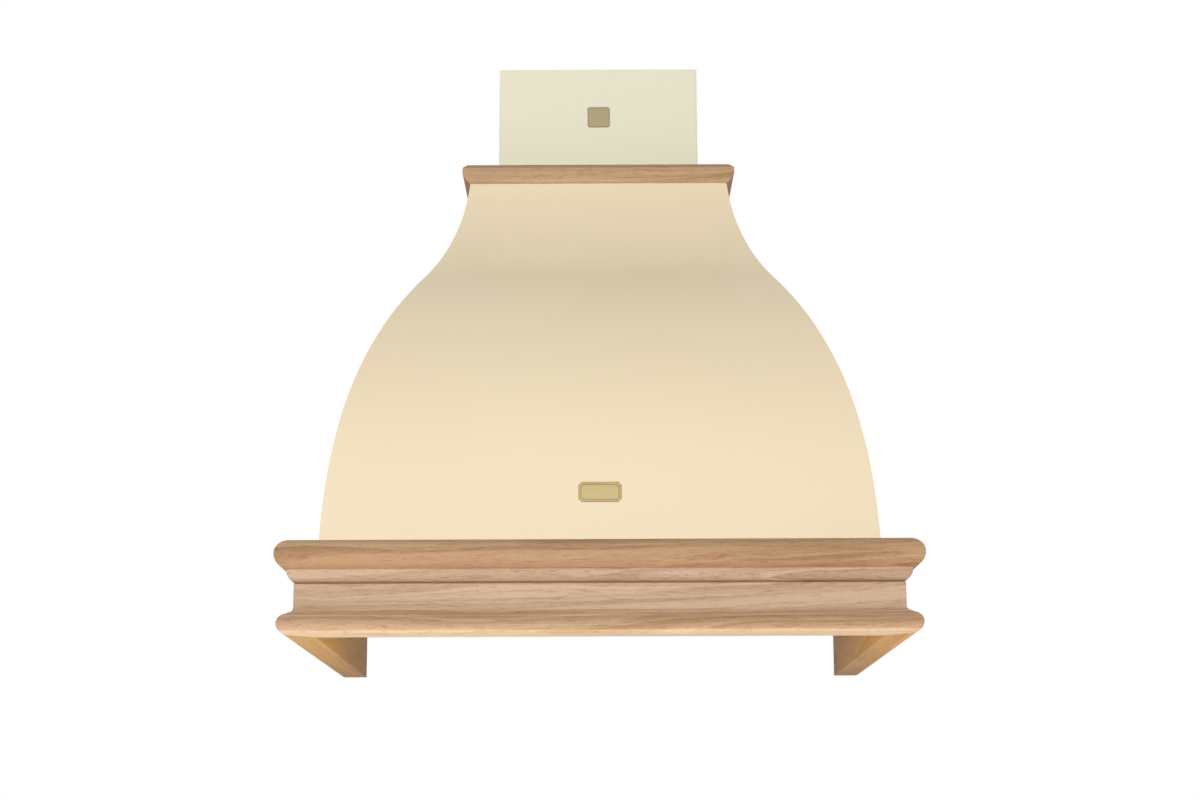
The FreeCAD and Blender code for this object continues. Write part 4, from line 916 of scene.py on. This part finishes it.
# How wide the edges of a smooth copy are broken. A node that isn't listed keeps its own mesh.
EDGE_OF_NODE = {
    "front_panel": 0.0, "left_panel": 0.0, "right_panel": 0.0, "chimney_cover": 0.0,
    "control_plate": 0.5 * MM, "filter_frame_left": 0.4 * MM, "filter_frame_right": 0.4 * MM,
    "filter_latch_left": 0.4 * MM, "filter_latch_right": 0.4 * MM,
    "lamp_bezel_left": 0.4 * MM, "lamp_bezel_right": 0.4 * MM,
    "blower_housing_left": 0.0, "blower_housing_right": 0.0, "motor": 0.0,
    "outlet_collar": 0.0, "flap_front": 0.0, "flap_rear": 0.0,
    "terminal_box": 0.6 * MM, "terminal_lid": 0.6 * MM, "cable_gland": 0.5 * MM,
    "capacitor": 1.2 * MM, "impeller": 0.0, "switch_block": 0.8 * MM,
    "top_plate": 0.0, "button_off": 0.7 * MM, "button_speed_1": 0.7 * MM,
    "button_speed_2": 0.7 * MM, "button_speed_3": 0.7 * MM, "button_light": 0.7 * MM,
}


def other_nodes():
    """Give each CAD node that is still shown the finish of its slot."""
    slots = {part["node"]: part["material_slot"] for part in frame["record"]["subparts"]}
    for node, cad in frame["nodes"].items():
        if cad.hide_render:
            continue
        slot = slots.get(node)
        finish = FINISH_OF_SLOT.get(slot, GALVANISED)
        if node in EDGE_OF_NODE:
            fine(node, finish, EDGE_OF_NODE[node])
        elif cad.material_slots:
            for place in cad.material_slots:
                place.material = finish
        else:
            cad.data.materials.append(finish)


# Room and camera


def light_path_white(tree, plain, white):
    """plain for light that falls on the object, white for what the eye or a mirror sees."""
    path = tree.node("ShaderNodeLightPath", output="Is Camera Ray")
    seen = path.math("MAXIMUM", path, path.other("Is Glossy Ray"))
    seen = seen.math("MAXIMUM", seen, path.other("Is Transmission Ray"))
    return tree.node("ShaderNodeMixShader", None, [seen, plain, white])


FLOOR_REACH, FLOOR_LEVEL = 9.0, -1850 * MM
FLOOR_GLOW = 0.8


def room(fill):
    """A plain world of this strength and a pale floor, both white to the eye."""
    world = bpy.data.worlds.new("room")
    bpy.context.scene.world = world
    world.use_nodes = True
    tree = Tree(world.node_tree)
    world.node_tree.nodes.clear()
    plain = tree.node("ShaderNodeBackground", None, [(1, 1, 1, 1), fill])
    white = tree.node("ShaderNodeBackground", None, [(1, 1, 1, 1), 1.0])
    tree.end("ShaderNodeOutputWorld", light_path_white(tree, plain, white))

    material = bpy.data.materials.new("pale_floor")
    material.use_nodes = True
    tree = Tree(material.node_tree)
    material.node_tree.nodes.clear()
    pale = tree.node("ShaderNodeBsdfDiffuse", None, [(0.86, 0.86, 0.86, 1), 0.6])
    glow = tree.node("ShaderNodeEmission", None, [(1, 1, 1, 1), 1.0])
    path = tree.node("ShaderNodeLightPath", output="Is Camera Ray")
    seen = path.math("MAXIMUM", path, path.other("Is Glossy Ray"))
    tree.end("ShaderNodeOutputMaterial",
             tree.node("ShaderNodeMixShader", None, [seen * FLOOR_GLOW, pale, glow]))
    reach, level = FLOOR_REACH, FLOOR_LEVEL
    mesh = bpy.data.meshes.new("floor")
    mesh.from_pydata([(-reach, -reach, level), (reach, -reach, level), (reach, reach, level),
                      (-reach, reach, level)], [], [(0, 1, 2, 3)])
    mesh.materials.append(material)
    floor = bpy.data.objects.new("floor", mesh)
    bpy.context.scene.collection.objects.link(floor)


# Each lamp's place, target, width, height, power and colour
WHITE, WARM = (1, 1, 1), (1.0, 0.92, 0.78)
LAMPS = {
    "key": ((-0.3, -3.3, -0.05), (0, -0.3, 0.0), 2.6, 1.2, 62.6, WHITE),
    "under": ((-0.1, -0.95, -1.75), (0, -0.3, -0.2), 1.6, 1.0, 9.2, WARM),
    "right_side": ((3.2, 1.0, 0.0), (0.2, -0.2, 0.0), 1.6, 1.2, 48.0, WHITE),
    "left_side": ((-3.2, 1.0, 0.0), (-0.2, -0.2, 0.0), 1.6, 1.2, 48.0, WHITE),
}
WORLD_STRENGTH = 0.30


def soft_light(name, place, target, width, height, power, tone):
    data = bpy.data.lights.new(name, "AREA")
    data.shape = "RECTANGLE"
    data.size, data.size_y = width, height
    data.energy = power
    data.color = tone
    light = bpy.data.objects.new(name, data)
    bpy.context.scene.collection.objects.link(light)
    light.location = place
    light.rotation_euler = (Vector(target) - Vector(place)).to_track_quat("-Z", "Y").to_euler()


# The camera looks up by 12 degrees and leans by a fraction of one, as the photograph does.
EYE = (0.0008, -2.445, -0.503)
LENS = 64.62
LOOK_UP, LEAN = math.radians(12.06), math.radians(-0.22)


def camera():
    data = bpy.data.cameras.new("camera")
    data.sensor_width = 36.0
    data.lens = LENS
    data.clip_end = 100.0
    eye = bpy.data.objects.new("camera", data)
    bpy.context.scene.collection.objects.link(eye)
    eye.location = EYE
    tilt = Matrix.Rotation(math.pi / 2 + LOOK_UP, 3, "X")
    eye.rotation_euler = (tilt @ Matrix.Rotation(LEAN, 3, "Z")).to_euler()
    bpy.context.scene.camera = eye


beech_pieces()
filter_layers()
plaque()
badge()
screws()
button_signs()
other_nodes()
camera()
room(WORLD_STRENGTH)
for name, lamp in LAMPS.items():
    soft_light(name, *lamp)
bpy.context.scene.view_settings.view_transform = "Standard"
